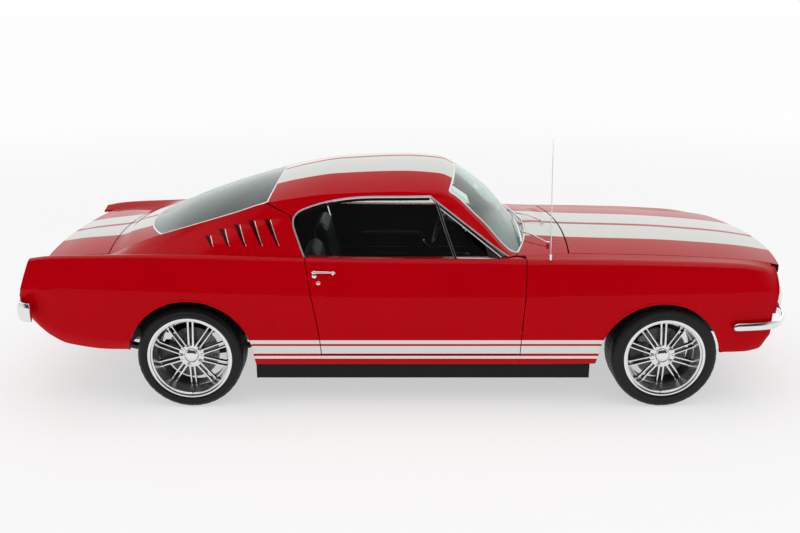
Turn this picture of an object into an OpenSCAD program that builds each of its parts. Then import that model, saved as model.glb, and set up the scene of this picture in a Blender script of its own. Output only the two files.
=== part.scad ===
// Two-door fastback muscle car: steel body, hinged doors, hood and trunk lid,
// steered front wheels on knuckles, solid rear axle on leaf springs.
// +X forward, +Y left, +Z up, origin on the ground under the middle of the car.

/* [Body] */
// Distance between the axles
wheelbase = 2743; // [2690:1:2800]
// Front axle to the front bumper's face
front_overhang = 827; // [800:1:860]
// Rear axle to the rear bumper's face
rear_overhang = 1040; // [1010:1:1080]
// Width over the side creases
body_width = 1732; // [1700:1:1780]
// Height of the roof's crown
roof_h = 1354; // [1330:1:1390]
// Thickness of the fender and quarter skins
skin_t = 12; // [8:1:16]
// Thickness of the roof with its lining
roof_t = 30; // [20:1:40]
// Thickness of the hood, deck and lid panels
panel_t = 20; // [14:1:26]
// Thickness of the glass
glass_t = 6; // [4:1:8]
// Thickness of a door at the widest point
door_t = 156; // [120:1:170]
// Gap round the doors, hood and trunk lid
gap = 5; // [4:0.5:7]
// Gap between the hood and the cowl
cowl_gap = 8; // [6:1:12]
// Number of louver slats behind each door
louvers = 5; // [3:1:6]

/* [Wheels] */
// Distance between the tyres' middle planes on one axle
track = 1422; // [1400:1:1434]
// Outer radius of the tyres
tyre_r = 306; // [300:1:314]
// Width of the tyres
tyre_w = 235; // [215:1:240]
// Radius of the rear rims' flange
rim_r = 244; // [236:1:250]
// Radius of the front rims' flange
front_rim_r = 234; // [228:1:246]
// Spoke pairs of each rim
spokes = 10; // [6:1:12]
// Radius of the brake discs
disc_r = 152; // [140:1:160]
// Radius of the spindle in the wheel hub
spindle_r = 30; // [24:1:34]
// Running clearance round the spindle and the pins
run_c = 0.3; // [0.1:0.05:0.5]
// Steering axis inboard of the tyre's middle plane
king_in = 71; // [60:1:80]
// Radius of the front wheel openings
front_arch_r = 358; // [350:1:366]
// Radius of the rear wheel openings
rear_arch_r = 364; // [352:1:372]

/* [Fittings] */
// Radius of the door hinge pins
pin_r = 4; // [3:0.5:5]
// Radius of the headlamps
lamp_r = 89; // [80:1:92]
// Outer radius of the steering wheel
steer_r = 190; // [170:1:200]
// Height of the front bumper's blade
blade_h = 48; // [40:1:60]
// Height of the antenna's tip
antenna_h = 1564; // [1300:1:1600]
// Radius of the exhaust pipes
pipe_r = 26; // [20:1:30]

/* [Hidden] */
$fn = 48;
xf = (wheelbase + rear_overhang - front_overhang) / 2;
xr = xf - wheelbase;
hw = body_width / 2;
nose_x = xf + front_overhang;
tail_x = xr - rear_overhang;
axle_z = tyre_r;
wy = track / 2;
king_y = wy - king_in;
red = "#b00d18";
dark = "#1b1b1d";
chrome = "#d9dde0";
steel = "#8b8f94";
tint = "#9fb3ab";

// Body lines. Each row is one station along the car: its x, then the inset
// from the half width and the height of the lower edge, sill, side crease,
// shoulder peak, cabin base and upper edge, then the height on the
// centreline and how far the centreline bows forward of the edge.
LOW = 0;
SILL = 1;
CREASE = 2;
PEAK = 3;
BASE = 4;
EDGE = 5;
TOP = 13;
BOW = 14;
LINES = [
  [xr - 980, 132, 612, 106, 655, 68, 722, 122, 856, 170, 864, 226, 844, 848, -50],
  [xr - 900, 121, 502, 91, 575, 54, 720, 111, 868, 161, 875, 226, 853, 856, -50],
  [xr - 811, 114, 420, 81, 505, 44, 718, 100, 882, 150, 889, 221, 864, 866, -50],
  [xr - 711, 106, 373, 66, 455, 34, 716, 90, 890, 142, 897, 218, 873, 884, -48],
  [xr - 470, 91, 345, 44, 420, 18, 711, 78, 897, 126, 904, 224, 884, 914, -46],
  [xr - 330, 85, 346, 36, 408, 11, 708, 74, 899, 118, 908, 252, 932, 942, -110],
  [xr - 172, 81, 345, 31, 400, 8, 705, 72, 898, 114, 911, 266, 986, 968, -170],
  [xr, 76, 300, 28, 350, 6, 701, 71, 895, 110, 911, 265, 1037, 1085, -80],
  [xr + 265, 71, 262, 28, 335, 3, 696, 71, 889, 109, 907, 264, 1116, 1200, -10],
  [xr + 452, 71, 258, 28, 333, 1, 693, 73, 884, 109, 901, 266, 1175, roof_h - 90, 38],
  [xr + 591, 71, 258, 28, 333, 0, 691, 74, 880, 109, 896, 268, 1198, roof_h - 54, 40],
  [xr + 810, 71, 258, 28, 333, 0, 690, 75, 875, 109, 889, 274, 1224, roof_h - 17, 45],
  [xf - 1534, 71, 258, 28, 333, 0, 688, 76, 869, 109, 884, 281, 1236, roof_h, 50],
  [xf - 1327, 71, 258, 28, 333, 0, 688, 76, 865, 109, 884, 294, 1228, roof_h - 15, 57],
  [xf - 1256, 71, 258, 28, 333, 0, 688, 76, 864, 109, 884, 301, 1212, roof_h - 50, 63],
  [xf - 1078, 71, 258, 28, 333, 1, 688, 76, 862, 109, 884, 240, 1066, 1157, 92],
  [xf - 863, 71, 258, 28, 333, 2, 689, 76, 860, 112, 882, 166, 888, 925, 123],
  [xf - 778, 71, 258, 28, 333, 3, 689, 77, 859, 125, 880, 172, 887, 926, 95],
  [xf - 548, 71, 260, 28, 333, 5, 690, 78, 857, 146, 876, 221, 885, 916, 36],
  [xf - 413, 71, 261, 28, 333, 6, 690, 78, 856, 146, 875, 223, 882, 912, 34],
  [xf, 72, 300, 40, 370, 18, 690, 81, 850, 151, 866, 224, 872, 900, 30],
  [xf + 302, 71, 333, 54, 400, 34, 690, 90, 838, 158, 854, 226, 856, 878, 45],
  [xf + 452, 81, 333, 66, 400, 48, 691, 98, 826, 162, 843, 226, 846, 863, 58],
  [xf + 559, 104, 345, 86, 410, 66, 690, 109, 800, 166, 825, 224, 836, 847, 70],
  [xf + 622, 121, 420, 106, 450, 81, 686, 124, 768, 171, 805, 221, 826, 835, 78],
  [xf + 690, 141, 470, 126, 500, 98, 680, 141, 735, 176, 780, 216, 812, 822, 86]
];
// Sideways bulge of the surface between one line and the next
BULGE = [4, -6, 8, 0, 10];
// Upward bulge of the same strips
CROWN = [0, 0, 0, 5, 0];

// Landmarks along the car
door_f = xf - 812;
door_r = xr + 679;
hood_r = xf - 548;
hood_f = xf + 672;
wind_b = xf - 863;
wind_t = xf - 1256;
back_t = xr + 452;
back_b = xr - 172;
lid_f = xr - 470;
lid_r = xr - 826;
belt_z = 888;
door_z = 338;
hinge_x = door_f + 90;
hinge_y = hw - 44;
hinge_z = [522, 664];
floor_z = 200;
seat_y = 372;

function lerp(a, b, t) = a + (b - a) * t;
function clamp(v, a, b) = min(max(v, a), b);

// Smooth interpolation along the table of body lines, without overshoot
function mean_slope(a, b) = a * b <= 0 ? 0 : 2 * a * b / (a + b);
function step_slope(i, c) = (LINES[i + 1][c] - LINES[i][c]) / (LINES[i + 1][0] - LINES[i][0]);
last_row = len(LINES) - 1;
SLOPES = [for (i = [0:last_row]) [for (c = [0:BOW])
  i == 0 ? step_slope(0, c) : i == last_row ? step_slope(last_row - 1, c)
  : mean_slope(step_slope(i - 1, c), step_slope(i, c))]];
function row_at(x) = max([0, for (i = [1:last_row - 1]) if (LINES[i][0] <= x) i]);
function at(x) = let (
    i = row_at(x),
    h = LINES[i + 1][0] - LINES[i][0],
    t = (x - LINES[i][0]) / h,
    t2 = t * t,
    t3 = t2 * t)
  (2 * t3 - 3 * t2 + 1) * LINES[i] + (t3 - 2 * t2 + t) * h * SLOPES[i]
  + (3 * t2 - 2 * t3) * LINES[i + 1] + (t3 - t2) * h * SLOPES[i + 1];

// Height of one body line at x, and its distance from the centreline
function line_z(x, k) = at(x)[2 + 2 * k];
function line_y(x, k) = hw - at(x)[1 + 2 * k];

// Section of the body side at x: s counts 0 to 5 from the lower edge up
function sec(x, s) = let (
    r = at(x),
    k = clamp(floor(s), 0, 4),
    t = s - k,
    ay = hw - r[1 + 2 * k],
    by = hw - r[3 + 2 * k],
    az = r[2 + 2 * k],
    bz = r[4 + 2 * k],
    b = 4 * t * (1 - t),
    steep = k == 4 ? clamp((bz - az) / 150, 0, 1) : 1)
  [lerp(ay, by, t) + BULGE[k] * b * steep, lerp(az, bz, t) + CROWN[k] * b];
function sec_n(x, s) = let (
    d = sec(x, min(s + 0.03, 5)) - sec(x, max(s - 0.03, 0)))
  [d[1], -d[0]] / norm(d);
// Point on the right side, t deep under the skin
function side(x, s, t = 0) = let (p = sec(x, s), n = s > 4.99 ? [0, 1] : sec_n(x, s)) [x, -p[0] + t * n[0], p[1] - t * n[1]];
// Section number at height z on the lower or upper side
function s_low(x, z) = let (r = at(x))
  z < r[4] ? max(0, (z - r[2]) / (r[4] - r[2])) : 1 + (z - r[4]) / (r[6] - r[4]);
function s_high(x, z) = let (r = at(x)) 4 + clamp((z - r[10]) / (r[12] - r[10]), 0, 1);
// Point of the upper surface at x, q from -1 at the right edge to 1 at the left
function top(x, q, inset = 0, t = 0) = let (
    r = at(x),
    ye = hw - r[11],
    y = q * (ye - inset),
    c = 1 - pow(y / ye, 2))
  [x + r[BOW] * c, y, lerp(r[12], r[TOP], c) - t];

// Seams of the right door and window
function seam_f(z) = door_f - 28 * clamp((belt_z - z) / (belt_z - door_z), 0, 1.2);
function seam_r(z) = z > belt_z ? door_r - 0.40 * (z - belt_z)
  : door_r + 86 * (1 - pow(clamp((z - door_z) / (belt_z - door_z), 0, 1), 1.25));
// Upper edge of the side window, and the joint of roof and quarter behind it
win_r = seam_r(1112);
function win_z(x) = x < win_r ? lerp(line_z(back_t, EDGE), 1112, clamp((x - back_t) / (win_r - back_t), 0, 1))
  : min(lerp(1203, 1112, pow(clamp((xf - 1620 - x) / (xf - 1620 - win_r), 0, 1), 1.5)), line_z(x, EDGE) - 18);

// Closed shell between an outer and an inner grid of points
module slab(o, i) {
  nc = len(o);
  nr = len(o[0]);
  points = [for (c = o) each c, for (c = i) each c];
  function id(k, c, r) = (k * nc + c) * nr + r;
  function quad(a, b, c, d) = [[a, b, c], [a, c, d]];
  faces = [
    for (c = [0:nc - 2]) for (r = [0:nr - 2])
      each quad(id(0, c, r), id(0, c, r + 1), id(0, c + 1, r + 1), id(0, c + 1, r)),
    for (c = [0:nc - 2]) for (r = [0:nr - 2])
      each quad(id(1, c, r), id(1, c + 1, r), id(1, c + 1, r + 1), id(1, c, r + 1)),
    for (c = [0:nc - 2])
      each quad(id(0, c, 0), id(0, c + 1, 0), id(1, c + 1, 0), id(1, c, 0)),
    for (c = [0:nc - 2])
      each quad(id(0, c, nr - 1), id(1, c, nr - 1), id(1, c + 1, nr - 1), id(0, c + 1, nr - 1)),
    for (r = [0:nr - 2])
      each quad(id(0, 0, r), id(1, 0, r), id(1, 0, r + 1), id(0, 0, r + 1)),
    for (r = [0:nr - 2])
      each quad(id(0, nc - 1, r), id(0, nc - 1, r + 1), id(1, nc - 1, r + 1), id(1, nc - 1, r))
  ];
  polyhedron(points, faces, convexity = 8);
}

// Bar of one section swept along a path that turns about Z
module bar(path, section) {
  n = len(path);
  m = len(section);
  function dir(i) = let (d = path[min(i + 1, n - 1)] - path[max(i - 1, 0)]) [d[0], d[1]] / norm([d[0], d[1]]);
  points = [for (i = [0:n - 1]) let (d = dir(i)) for (p = section)
    [path[i][0] + d[1] * p[0], path[i][1] - d[0] * p[0], path[i][2] + p[1]]];
  faces = [
    for (i = [0:n - 2]) for (k = [0:m - 1]) let (a = i * m + k, b = i * m + (k + 1) % m)
      each [[a, b, b + m], [a, b + m, a + m]],
    [for (k = [m - 1:-1:0]) k],
    [for (k = [0:m - 1]) (n - 1) * m + k]
  ];
  polyhedron(points, faces, convexity = 8);
}

// Round tube along a path of points
module tube(path, r, m = 10) {
  n = len(path);
  function dir(i) = let (d = path[min(i + 1, n - 1)] - path[max(i - 1, 0)]) d / norm(d);
  function nrm(d) = let (c = cross(d, [0.05, 0.02, 1])) c / norm(c);
  points = [for (i = [0:n - 1]) let (d = dir(i), u = nrm(d), v = cross(u, d)) for (k = [0:m - 1])
    path[i] + r * (cos(360 * k / m) * u + sin(360 * k / m) * v)];
  faces = [
    for (i = [0:n - 2]) for (k = [0:m - 1]) let (a = i * m + k, b = i * m + (k + 1) % m)
      each [[a, b, b + m], [a, b + m, a + m]],
    [for (k = [m - 1:-1:0]) k],
    [for (k = [0:m - 1]) (n - 1) * m + k]
  ];
  polyhedron(points, faces, convexity = 8);
}

// Smooth path through a few points
function curve(p, n) = [for (j = [0:n]) let (
    u = j * (len(p) - 1) / n,
    i = min(floor(u), len(p) - 2),
    t = u - i,
    a = p[max(i - 1, 0)],
    b = p[i],
    c = p[i + 1],
    d = p[min(i + 2, len(p) - 1)])
  0.5 * (2 * b + (c - a) * t + (2 * a - 5 * b + 4 * c - d) * t * t + (3 * b - a - 3 * c + d) * t * t * t)];

module box(a, b) { translate(a) cube(b - a); }
module both() {
  children();
  mirror([0, 1, 0]) children();
}
module left() { mirror([0, 1, 0]) children(); }
// Cylinder along Y from y0 to y1, and along X from x0 to x1
module rod_y(x, z, y0, y1, r) { translate([x, y0, z]) rotate([-90, 0, 0]) cylinder(h = y1 - y0, r = r); }
module rod_x(y, z, x0, x1, r) { translate([x0, y, z]) rotate([0, 90, 0]) cylinder(h = x1 - x0, r = r); }
// Outline in X and Z, extruded across the car from y0 to y1
module profile_y(y0, y1, p) { translate([0, y1, 0]) rotate([90, 0, 0]) linear_extrude(y1 - y0) polygon(p); }
// Outline in Y and Z, extruded along the car from x0 to x1
module profile_x(x0, x1) {
  translate([x0, 0, 0]) rotate([90, 0, 90]) linear_extrude(x1 - x0) children();
}

// Body side panels

// Rows of the side sections above the crease
UPPER = [2.34, 2.67, 3, 3.5, 4];
function rows(s0) = [for (j = [0:4]) lerp(s0, 2, j / 4)];
function arch_cols(xc, zc, r, n) = [for (k = [0:n]) [xc + r * cos(180 - 180 * k / n), zc + r * sin(180 * k / n)]];

farch_x = xf - 33;
farch_z = axle_z - 24;
rarch_x = xr + 11;
rarch_z = axle_z - 10;
fender_f = xf + 619;

// Columns of the right fender: x at height z, and the lower edge there
function fender_grid(t) = let (
    ss = function (x, z0) [each rows(s_low(x, z0)), each UPPER, 4.5, 5],
    x0 = farch_x - front_arch_r - 2,
    x1 = farch_x + front_arch_r + 2)
  [for (k = [0:4]) [for (s = ss(lerp(door_f, x0, k / 5), 0))
      let (z = sec(lerp(door_f, x0, k / 5), s)[1]) side(lerp(seam_f(z) + gap, x0, k / 5), s, t)],
    [for (s = ss(x0, 0)) side(x0, s, t)],
    for (c = arch_cols(farch_x, farch_z, front_arch_r, 14)) [for (s = ss(c[0], c[1])) side(c[0], s, t)],
    for (k = [0:5]) [for (s = ss(lerp(x1, fender_f, k / 5), 0)) side(lerp(x1, fender_f, k / 5), s, t)]];

module fender_right() {
  color(red) slab(fender_grid(0), fender_grid(skin_t));
}
module fender_left() { left() fender_right(); }

// Rear end of the quarter, leaning back as it goes down
function tail_end(z) = xr - 899 - 0.27 * clamp(868 - z, 0, 230);
// Columns of the right quarter with its sail panel
function quarter_grid(t) = let (
    ss = function (x, z0, s1) [each rows(s_low(x, z0)), each UPPER, for (j = [1:4]) lerp(4, s1, j / 4)],
    x0 = rarch_x - rear_arch_r - 2,
    x1 = rarch_x + rear_arch_r + 2)
  [for (k = [0:5]) [for (s = ss(lerp(xr - 900, x0, k / 6), 0, 5))
      let (z = sec(lerp(xr - 900, x0, k / 6), s)[1]) side(lerp(tail_end(z), x0, k / 6), s, t)],
    [for (s = ss(x0, 0, 5)) side(x0, s, t)],
    for (c = arch_cols(rarch_x, rarch_z, rear_arch_r, 14)) [for (s = ss(c[0], c[1], 5)) side(c[0], s, t)],
    for (k = [0:7]) let (
        u = k / 7,
        xt = lerp(x1, win_r - gap, u),
        s1 = xt < back_t ? 5 : s_high(xt, win_z(xt) - 0.5))
      [for (s = ss(lerp(x1, door_r, u), 0, s1))
        let (z = sec(lerp(x1, door_r, u), s)[1]) side(lerp(x1, seam_r(z) - gap, u), s, t)]];

// Louver slats lean back as they rise and stand proud at their rear edge
louver_z = [985, 1035, 1062, 1078, 1084, 1084];
module louver_row() {
  for (k = [0:louvers - 1]) {
    x = xr + 152 + 89 * k;
    grid = function (t0, t1) [for (u = [1, 0.5, 0]) [for (v = [0, 1]) let (
        z = lerp(940, louver_z[k], u),
        xx = x + 80 * v - 0.3 * (z - 940))
      side(xx, s_high(xx, z), v == 0 ? t0 : t1)]];
    slab(grid(-13, -1), grid(3, 5));
  }
}

module quarter_right() {
  color(red) union() {
    slab(quarter_grid(0), quarter_grid(skin_t));
    louver_row();
  }
}
module quarter_left() { left() quarter_right(); }

module rocker() {
  cols = function (t) [for (k = [0:8]) [for (s = [0, 0.5, 0.98])
    let (z = sec(lerp(door_r, door_f, k / 8), s)[1])
    side(lerp(seam_r(z) - gap + 0.4, seam_f(z) + gap - 0.4, k / 8), s, t)]];
  slab(cols(0), cols(skin_t));
}
module rockers() { color(red) both() rocker(); }

// Upper surface panels

// Grid of the upper surface from x0 to x1, inset from the edge, t deep
function top_grid(x0, x1, nx, inset, t, nq = 12) =
  [for (k = [0:nx]) [for (j = [0:nq]) top(lerp(x0, x1, k / nx), 2 * j / nq - 1, inset, t)]];
module sheet(x0, x1, nx, inset, t) { slab(top_grid(x0, x1, nx, inset, 0), top_grid(x0, x1, nx, inset, t)); }

function lip(u) = panel_t + 26 * pow(clamp((u - 0.86) / 0.14, 0, 1), 2);
module hood() {
  n = 14;
  color(red) slab(top_grid(hood_r, hood_f, n, gap, 0),
    [for (k = [0:n]) [for (j = [0:12]) top(lerp(hood_r, hood_f, k / n), j / 6 - 1, gap, lip(k / n))]]);
}
module trunk_lid() {
  n = 6;
  color(red) slab(top_grid(lid_r, lid_f - gap, n, gap, 0),
    [for (k = [0:n]) [for (j = [0:12]) top(lerp(lid_r, lid_f - gap, k / n), j / 6 - 1, gap,
      panel_t + 6 * pow(clamp(1 - k * 2 / n, 0, 1), 2))]]);
}
module deck_panel() { color(red) sheet(lid_f, back_b - 1, 5, 1.9, panel_t); }
module cowl() { color(red) sheet(wind_b + 4, hood_r - cowl_gap, 5, 1.8, 12); }
module windshield() { color(tint) sheet(wind_t + 4, wind_b - 2, 7, 43, glass_t); }
module rear_window() { color(tint) sheet(back_b + 4, back_t - 3.2, 8, 1, glass_t); }

// Rows of the roof: up the right rail, across and down the left rail
ROOF_Q = [-0.86, -0.68, -0.46, -0.23, 0, 0.23, 0.46, 0.68, 0.86];
function roof_rail(x, t) = [for (u = [0, 0.5, 1]) let (s = lerp(s_high(x, win_z(x)), 5, u), p = sec(x, s))
  [x, -p[0] + t, p[1] - 0.5 * t * u]];
function roof_col(x, t) = let (rail = roof_rail(x, t)) [
  each rail,
  for (q = ROOF_Q) let (p = top(x, q)) [p[0], p[1] - 0.5 * t * q, p[2] - t],
  for (k = [2:-1:0]) [rail[k][0], -rail[k][1], rail[k][2]]];
function roof_grid(t) = [for (k = [0:13]) roof_col(lerp(back_t, wind_t, k / 13), t)];
module roof() { color(red) slab(roof_grid(0), roof_grid(roof_t)); }

// Windshield post along the upper edge line
module pillar() {
  xs = [for (k = [0:8]) lerp(wind_t + 0.5, wind_b - 2.7, k / 8)];
  o = [for (x = xs) let (
      u = (x - wind_t) / (wind_b - wind_t),
      xa = max(x - 38, wind_t + 0.5),
      z = line_z(x, EDGE) - 14 * max(0, 1 - (x - wind_t) / 40),
      b = side(x, 5),
      a = lerp(side(xa, s_high(xa, z)), b, 0.85 * pow(u, 3)),
      c = top(x, -1, 34))
    [a, lerp(a, b, 0.6), b, c]];
  slab(o, [for (c = o) [for (p = c) p + [6, 22, -14]]]);
}
module pillars() { color(red) both() pillar(); }

// Doors

module door_skin() {
  n = 11;
  ss = function (x) [each rows(s_low(x, door_z)), each UPPER];
  o = [for (k = [0:n]) [for (s = ss(lerp(door_r, door_f, k / n)))
    let (z = sec(lerp(door_r, door_f, k / n), s)[1]) side(lerp(seam_r(z), seam_f(z), k / n), s)]];
  i = [for (k = [0:n]) [for (p = o[k]) [p[0] + lerp(22, -44, k / n), -hw + door_t, p[2]]]];
  slab(o, i);
}
// Gooseneck strap from the door's front face to a pin inside the fender
module door_strap(z) {
  difference() {
    union() {
      translate([hinge_x, -hinge_y, z - 15]) cylinder(h = 30, r = pin_r + 5);
      box([hinge_x - 5, -hinge_y, z - 14], [hinge_x + 5, -hinge_y + 107, z + 14]);
      box([seam_f(z) - 60, -hinge_y + 97, z - 14], [hinge_x + 5, -hinge_y + 107, z + 14]);
    }
    translate([hinge_x, -hinge_y, z - 20]) cylinder(h = 40, r = pin_r + run_c);
  }
}
module door_right() {
  color(red) union() {
    door_skin();
    for (z = hinge_z) door_strap(z);
  }
}
module door_left() { left() door_right(); }

module glass_right() {
  n = 9;
  xb = [door_r + 4, wind_b - 58];
  xt = [win_r + 3, wind_t - 44];
  cols = function (t) [for (k = [0:n]) let (b = lerp(xb[0], xb[1], k / n), e = lerp(xt[0], xt[1], k / n),
      s1 = s_high(e, win_z(e) - gap))
    [for (j = [0:4]) let (s = lerp(4, s1, j / 4), x = lerp(b, e, j / 4), p = side(x, s, t + 8))
      [p[0], p[1], j == 0 ? line_z(x, BASE) + 0.3 : p[2]]]];
  slab(cols(0), cols(glass_t));
}
module door_glass_right() { color(tint) glass_right(); }
module door_glass_left() { color(tint) left() glass_right(); }

module handle_right() {
  x0 = door_r + 42;
  s = 2.78;
  p = [for (u = [0:0.125:1]) let (x = x0 + 135 * u) side(x, s, u < 0.2 || u > 0.8 ? -16 : -22)];
  color(chrome) union() {
    tube(p, 8, 8);
    translate(side(x0 + 12, s, -4.4)) rotate([90, 0, 0]) cylinder(h = 12, r = 9);
    translate(side(x0 + 123, s, -4.4)) rotate([90, 0, 0]) cylinder(h = 12, r = 9);
  }
}
module handle_left() { left() handle_right(); }

// Floor and inner structure

sill_y = hw - 92;
firewall_x = xf - 735;
house_y = wy - tyre_w / 2 - 38;
module wheelhouse() {
  intersection() {
    difference() {
      rod_y(xr, axle_z, -hw + 83.5, 4 - house_y, rear_arch_r + 2);
      rod_y(xr, axle_z, -hw + 82.5, -house_y - 4, rear_arch_r - 8);
    }
    box([xr - 400, -hw, axle_z + 62], [xr + 400, 0, axle_z + 500]);
  }
}
module floor_pan() {
  fx = firewall_x - 0.3;
  rx = xr + 480;
  color(dark) union() {
    difference() {
      box([rx - 20, -sill_y, floor_z], [fx, sill_y, floor_z + 20]);
      box([rx - 40, -118, floor_z - 10], [fx + 10, 118, floor_z + 40]);
    }
    profile_x(rx - 20, fx) polygon([[-138, floor_z], [-138, 370], [-110, 400], [110, 400], [138, 370],
      [138, floor_z], [118, floor_z], [118, 362], [100, 380], [-100, 380], [-118, 362], [-118, floor_z]]);
    both() box([xr + 375, -sill_y, 165], [xf - 420, -sill_y + 110, 326]);
    both() profile_y(-sill_y + 60, -112, [[rx, floor_z], [rx - 20, floor_z], [rx - 90, 470], [rx - 90, 484],
      [rx - 78, 484]]);
    box([xr - 820, -house_y, 470], [rx - 85, house_y, 484]);
    both() wheelhouse();
    both() box([xr - 800, -480, 400], [rx - 85, -430, 471]);
  }
}

module engine_bay() {
  wx = firewall_x;
  color(dark) union() {
    profile_x(wx, wx + 14) difference() {
      polygon([[-640, floor_z + 20.3], [640, floor_z + 20.3], [640, 862], [380, 892], [-380, 892], [-640, 862]]);
      translate([-118, floor_z]) square([236, 180]);
    }
    both() {
      box([wx, -438, 330], [xf + 560, -426, 800]);
      box([wx, -610, 790], [xf + 400, -426, 802]);
      box([wx, -430, 330], [xf + 560, -370, 420]);
      // Hinge post with a lug above and below each door strap
      box([wx - 20, -hinge_y + 122, 326.3], [wx + 25, -600, 850]);
      for (z = hinge_z) {
        for (k = [-24, 16]) difference() {
          box([hinge_x - 10, -hinge_y - 6, z + k], [hinge_x + 10, -hinge_y + 130, z + k + 8]);
          translate([hinge_x, -hinge_y, z + k - 1]) cylinder(h = 10, r = pin_r - 0.5);
        }
        translate([hinge_x, -hinge_y, z - 24]) cylinder(h = 48, r = pin_r);
      }
    }
    profile_x(xf + 545, xf + 560) difference() {
      polygon([[-640, 330], [640, 330], [640, 760], [-640, 760]]);
      translate([-310, 380]) square([620, 350]);
      translate([-600, 430]) square([240, 290]);
      translate([360, 430]) square([240, 290]);
    }
    // Rubber stops under the hood's front corners
    both() translate([xf + 552, -560, 755]) cylinder(h = stop_h(-560) - 755, r = 12);
  }
}
// Height of the hood's underside over the radiator support
function stop_h(y) = let (c = 1 - pow(y / line_y(xf + 550, EDGE), 2))
  under(xf + 552, y, lip((xf + 564 - at(xf + 550)[BOW] * c - hood_r) / (hood_f - hood_r)) + 4.6);
// Height of the upper surface over a point, less a depth
function under(x, y, t) = let (
    c = 1 - pow(y / line_y(x, EDGE), 2),
    r = at(x - at(x)[BOW] * c))
  lerp(r[12], r[TOP], c) - t;

// Nose and tail

nose_h = 0.88;
// Front face: x at distance y from the middle and height z
function face_x(y, z) = xf + 748 - 108 * pow(y / 690, 2) + 0.06 * (z - 680);
module nose_panel() {
  rows_z = [560, 600, 680, 752, 782];
  g = function (t) [for (z = [0:4]) [for (j = [0:12]) let (y = 555 * (1 - j / 6))
    [face_x(y, rows_z[z]) - 30 - t, y, rows_z[z]]]];
  vz = [338, 362, 410, 452, 482];
  vx = [-52, -26, -8, 0, 2];
  v = function (t) [for (z = [0:4]) [for (j = [0:12]) let (y = 716 * (1 - j / 6))
    [xf + 700 + vx[z] - 74 * pow(y / 716, 2) - t, y, vz[z]]]];
  color(red) union() {
    difference() {
      slab(g(0), g(14));
      profile_x(xf + 500, nose_x) polygon([[-452, 590], [452, 590], [486, 690], [470, 762], [-470, 762], [-486, 690]]);
    }
    slab(v(0), v(14));
    both() box([xf + 640, -548, 440], [xf + 652, -520, 600]);
  }
}
module grille() {
  gx = xf + 640.9;
  color(steel) union() {
    profile_x(gx, gx + 8) difference() {
      polygon([[-456, 586], [456, 586], [492, 690], [476, 768], [-476, 768], [-492, 690]]);
      polygon([[-446, 594], [446, 594], [480, 690], [464, 758], [-464, 758], [-480, 690]]);
    }
    for (k = [1:6]) box([gx + 1, -462, 590 + 24 * k], [gx + 6, 462, 594 + 24 * k]);
    for (k = [-15:15]) box([gx + 1, 29 * k - 2, 588], [gx + 5, 29 * k + 2, 764]);
    box([gx + 3, -360, 672], [gx + 16, 360, 684]);
  }
}
// Fender end with the round lamp opening
lamp_y = 622;
lamp_z = 682;
module bucket() {
  x0 = fender_f + 0.3;
  difference() {
    union() {
      profile_x(x0, x0 + 16) polygon([
        for (s = [s_low(fender_f, 560):0.2:4.6]) [-sec(fender_f, s)[0], sec(fender_f, s)[1]],
        [-654, 766], [-555.4, 764], [-555.4, 560]]);
      rod_x(-lamp_y, lamp_z, x0 - 54, x0 + 4, lamp_r + 7);
    }
    rod_x(-lamp_y, lamp_z, x0 - 57, x0 + 30, lamp_r + 1);
  }
}
module lamp_buckets() { color(red) both() bucket(); }
module headlamps() {
  color("white") both() translate([fender_f - 40, -lamp_y, lamp_z]) rotate([0, 90, 0]) rotate_extrude()
    polygon([[0, 0], [lamp_r + 0.7, 0], [lamp_r + 0.7, 40], [lamp_r - 8, 48],
      for (a = [0:0.25:1]) [(lamp_r - 8) * (1 - a), 48 + 14 * (1 - pow(1 - a, 2))]]);
}

function tail_face(z) = tail_end(z) + 44;
stop_x = tail_face(838) + 24;
module tail_panel() {
  rz = [600, 680, 750, 803, 826];
  g = function (t) [for (k = [0:4]) [for (j = [0:10]) let (y = 690 * (j / 5 - 1))
    [tail_face(rz[k]) - 22 * (1 - pow(y / 690, 2)) + t, y, rz[k]]]];
  vz = [400, 440, 520, 600];
  vx = [150, 90, 24, 4];
  v = function (t) [for (k = [0:3]) [for (j = [0:10]) let (y = 700 * (j / 5 - 1))
    [tail_end(640) + vx[k] - 22 * (1 - pow(y / 700, 2)) + t, y, vz[k]]]];
  color(red) union() {
    slab(g(0), g(14));
    slab(v(0), v(14));
    box([tail_end(640) + 8, -640, 560], [tail_end(640) + 60, 640, 612]);
    both() box([tail_end(640) + 40, -540, 484.3], [xr - 795, -500, 575]);
    // Shelf and rubber stop under each rear corner of the trunk lid
    both() {
      box([tail_face(826) - 6, -514, 806], [stop_x + 12, -486, 821]);
      translate([stop_x, -500, 820]) cylinder(h = under(stop_x, 500, panel_t + 7.3) - 820, r = 10);
    }
  }
}
module tail_lamps() {
  color("#8c0f12") both() for (k = [0:2]) {
    y = 415 + 74 * k;
    x = tail_face(688) - 22 * (1 - pow((y - 26) / 690, 2));
    translate([x - 12.6, -y - 26, 688]) rotate([0, atan(0.27), 0]) cube([12, 52, 120]);
  }
}

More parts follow.
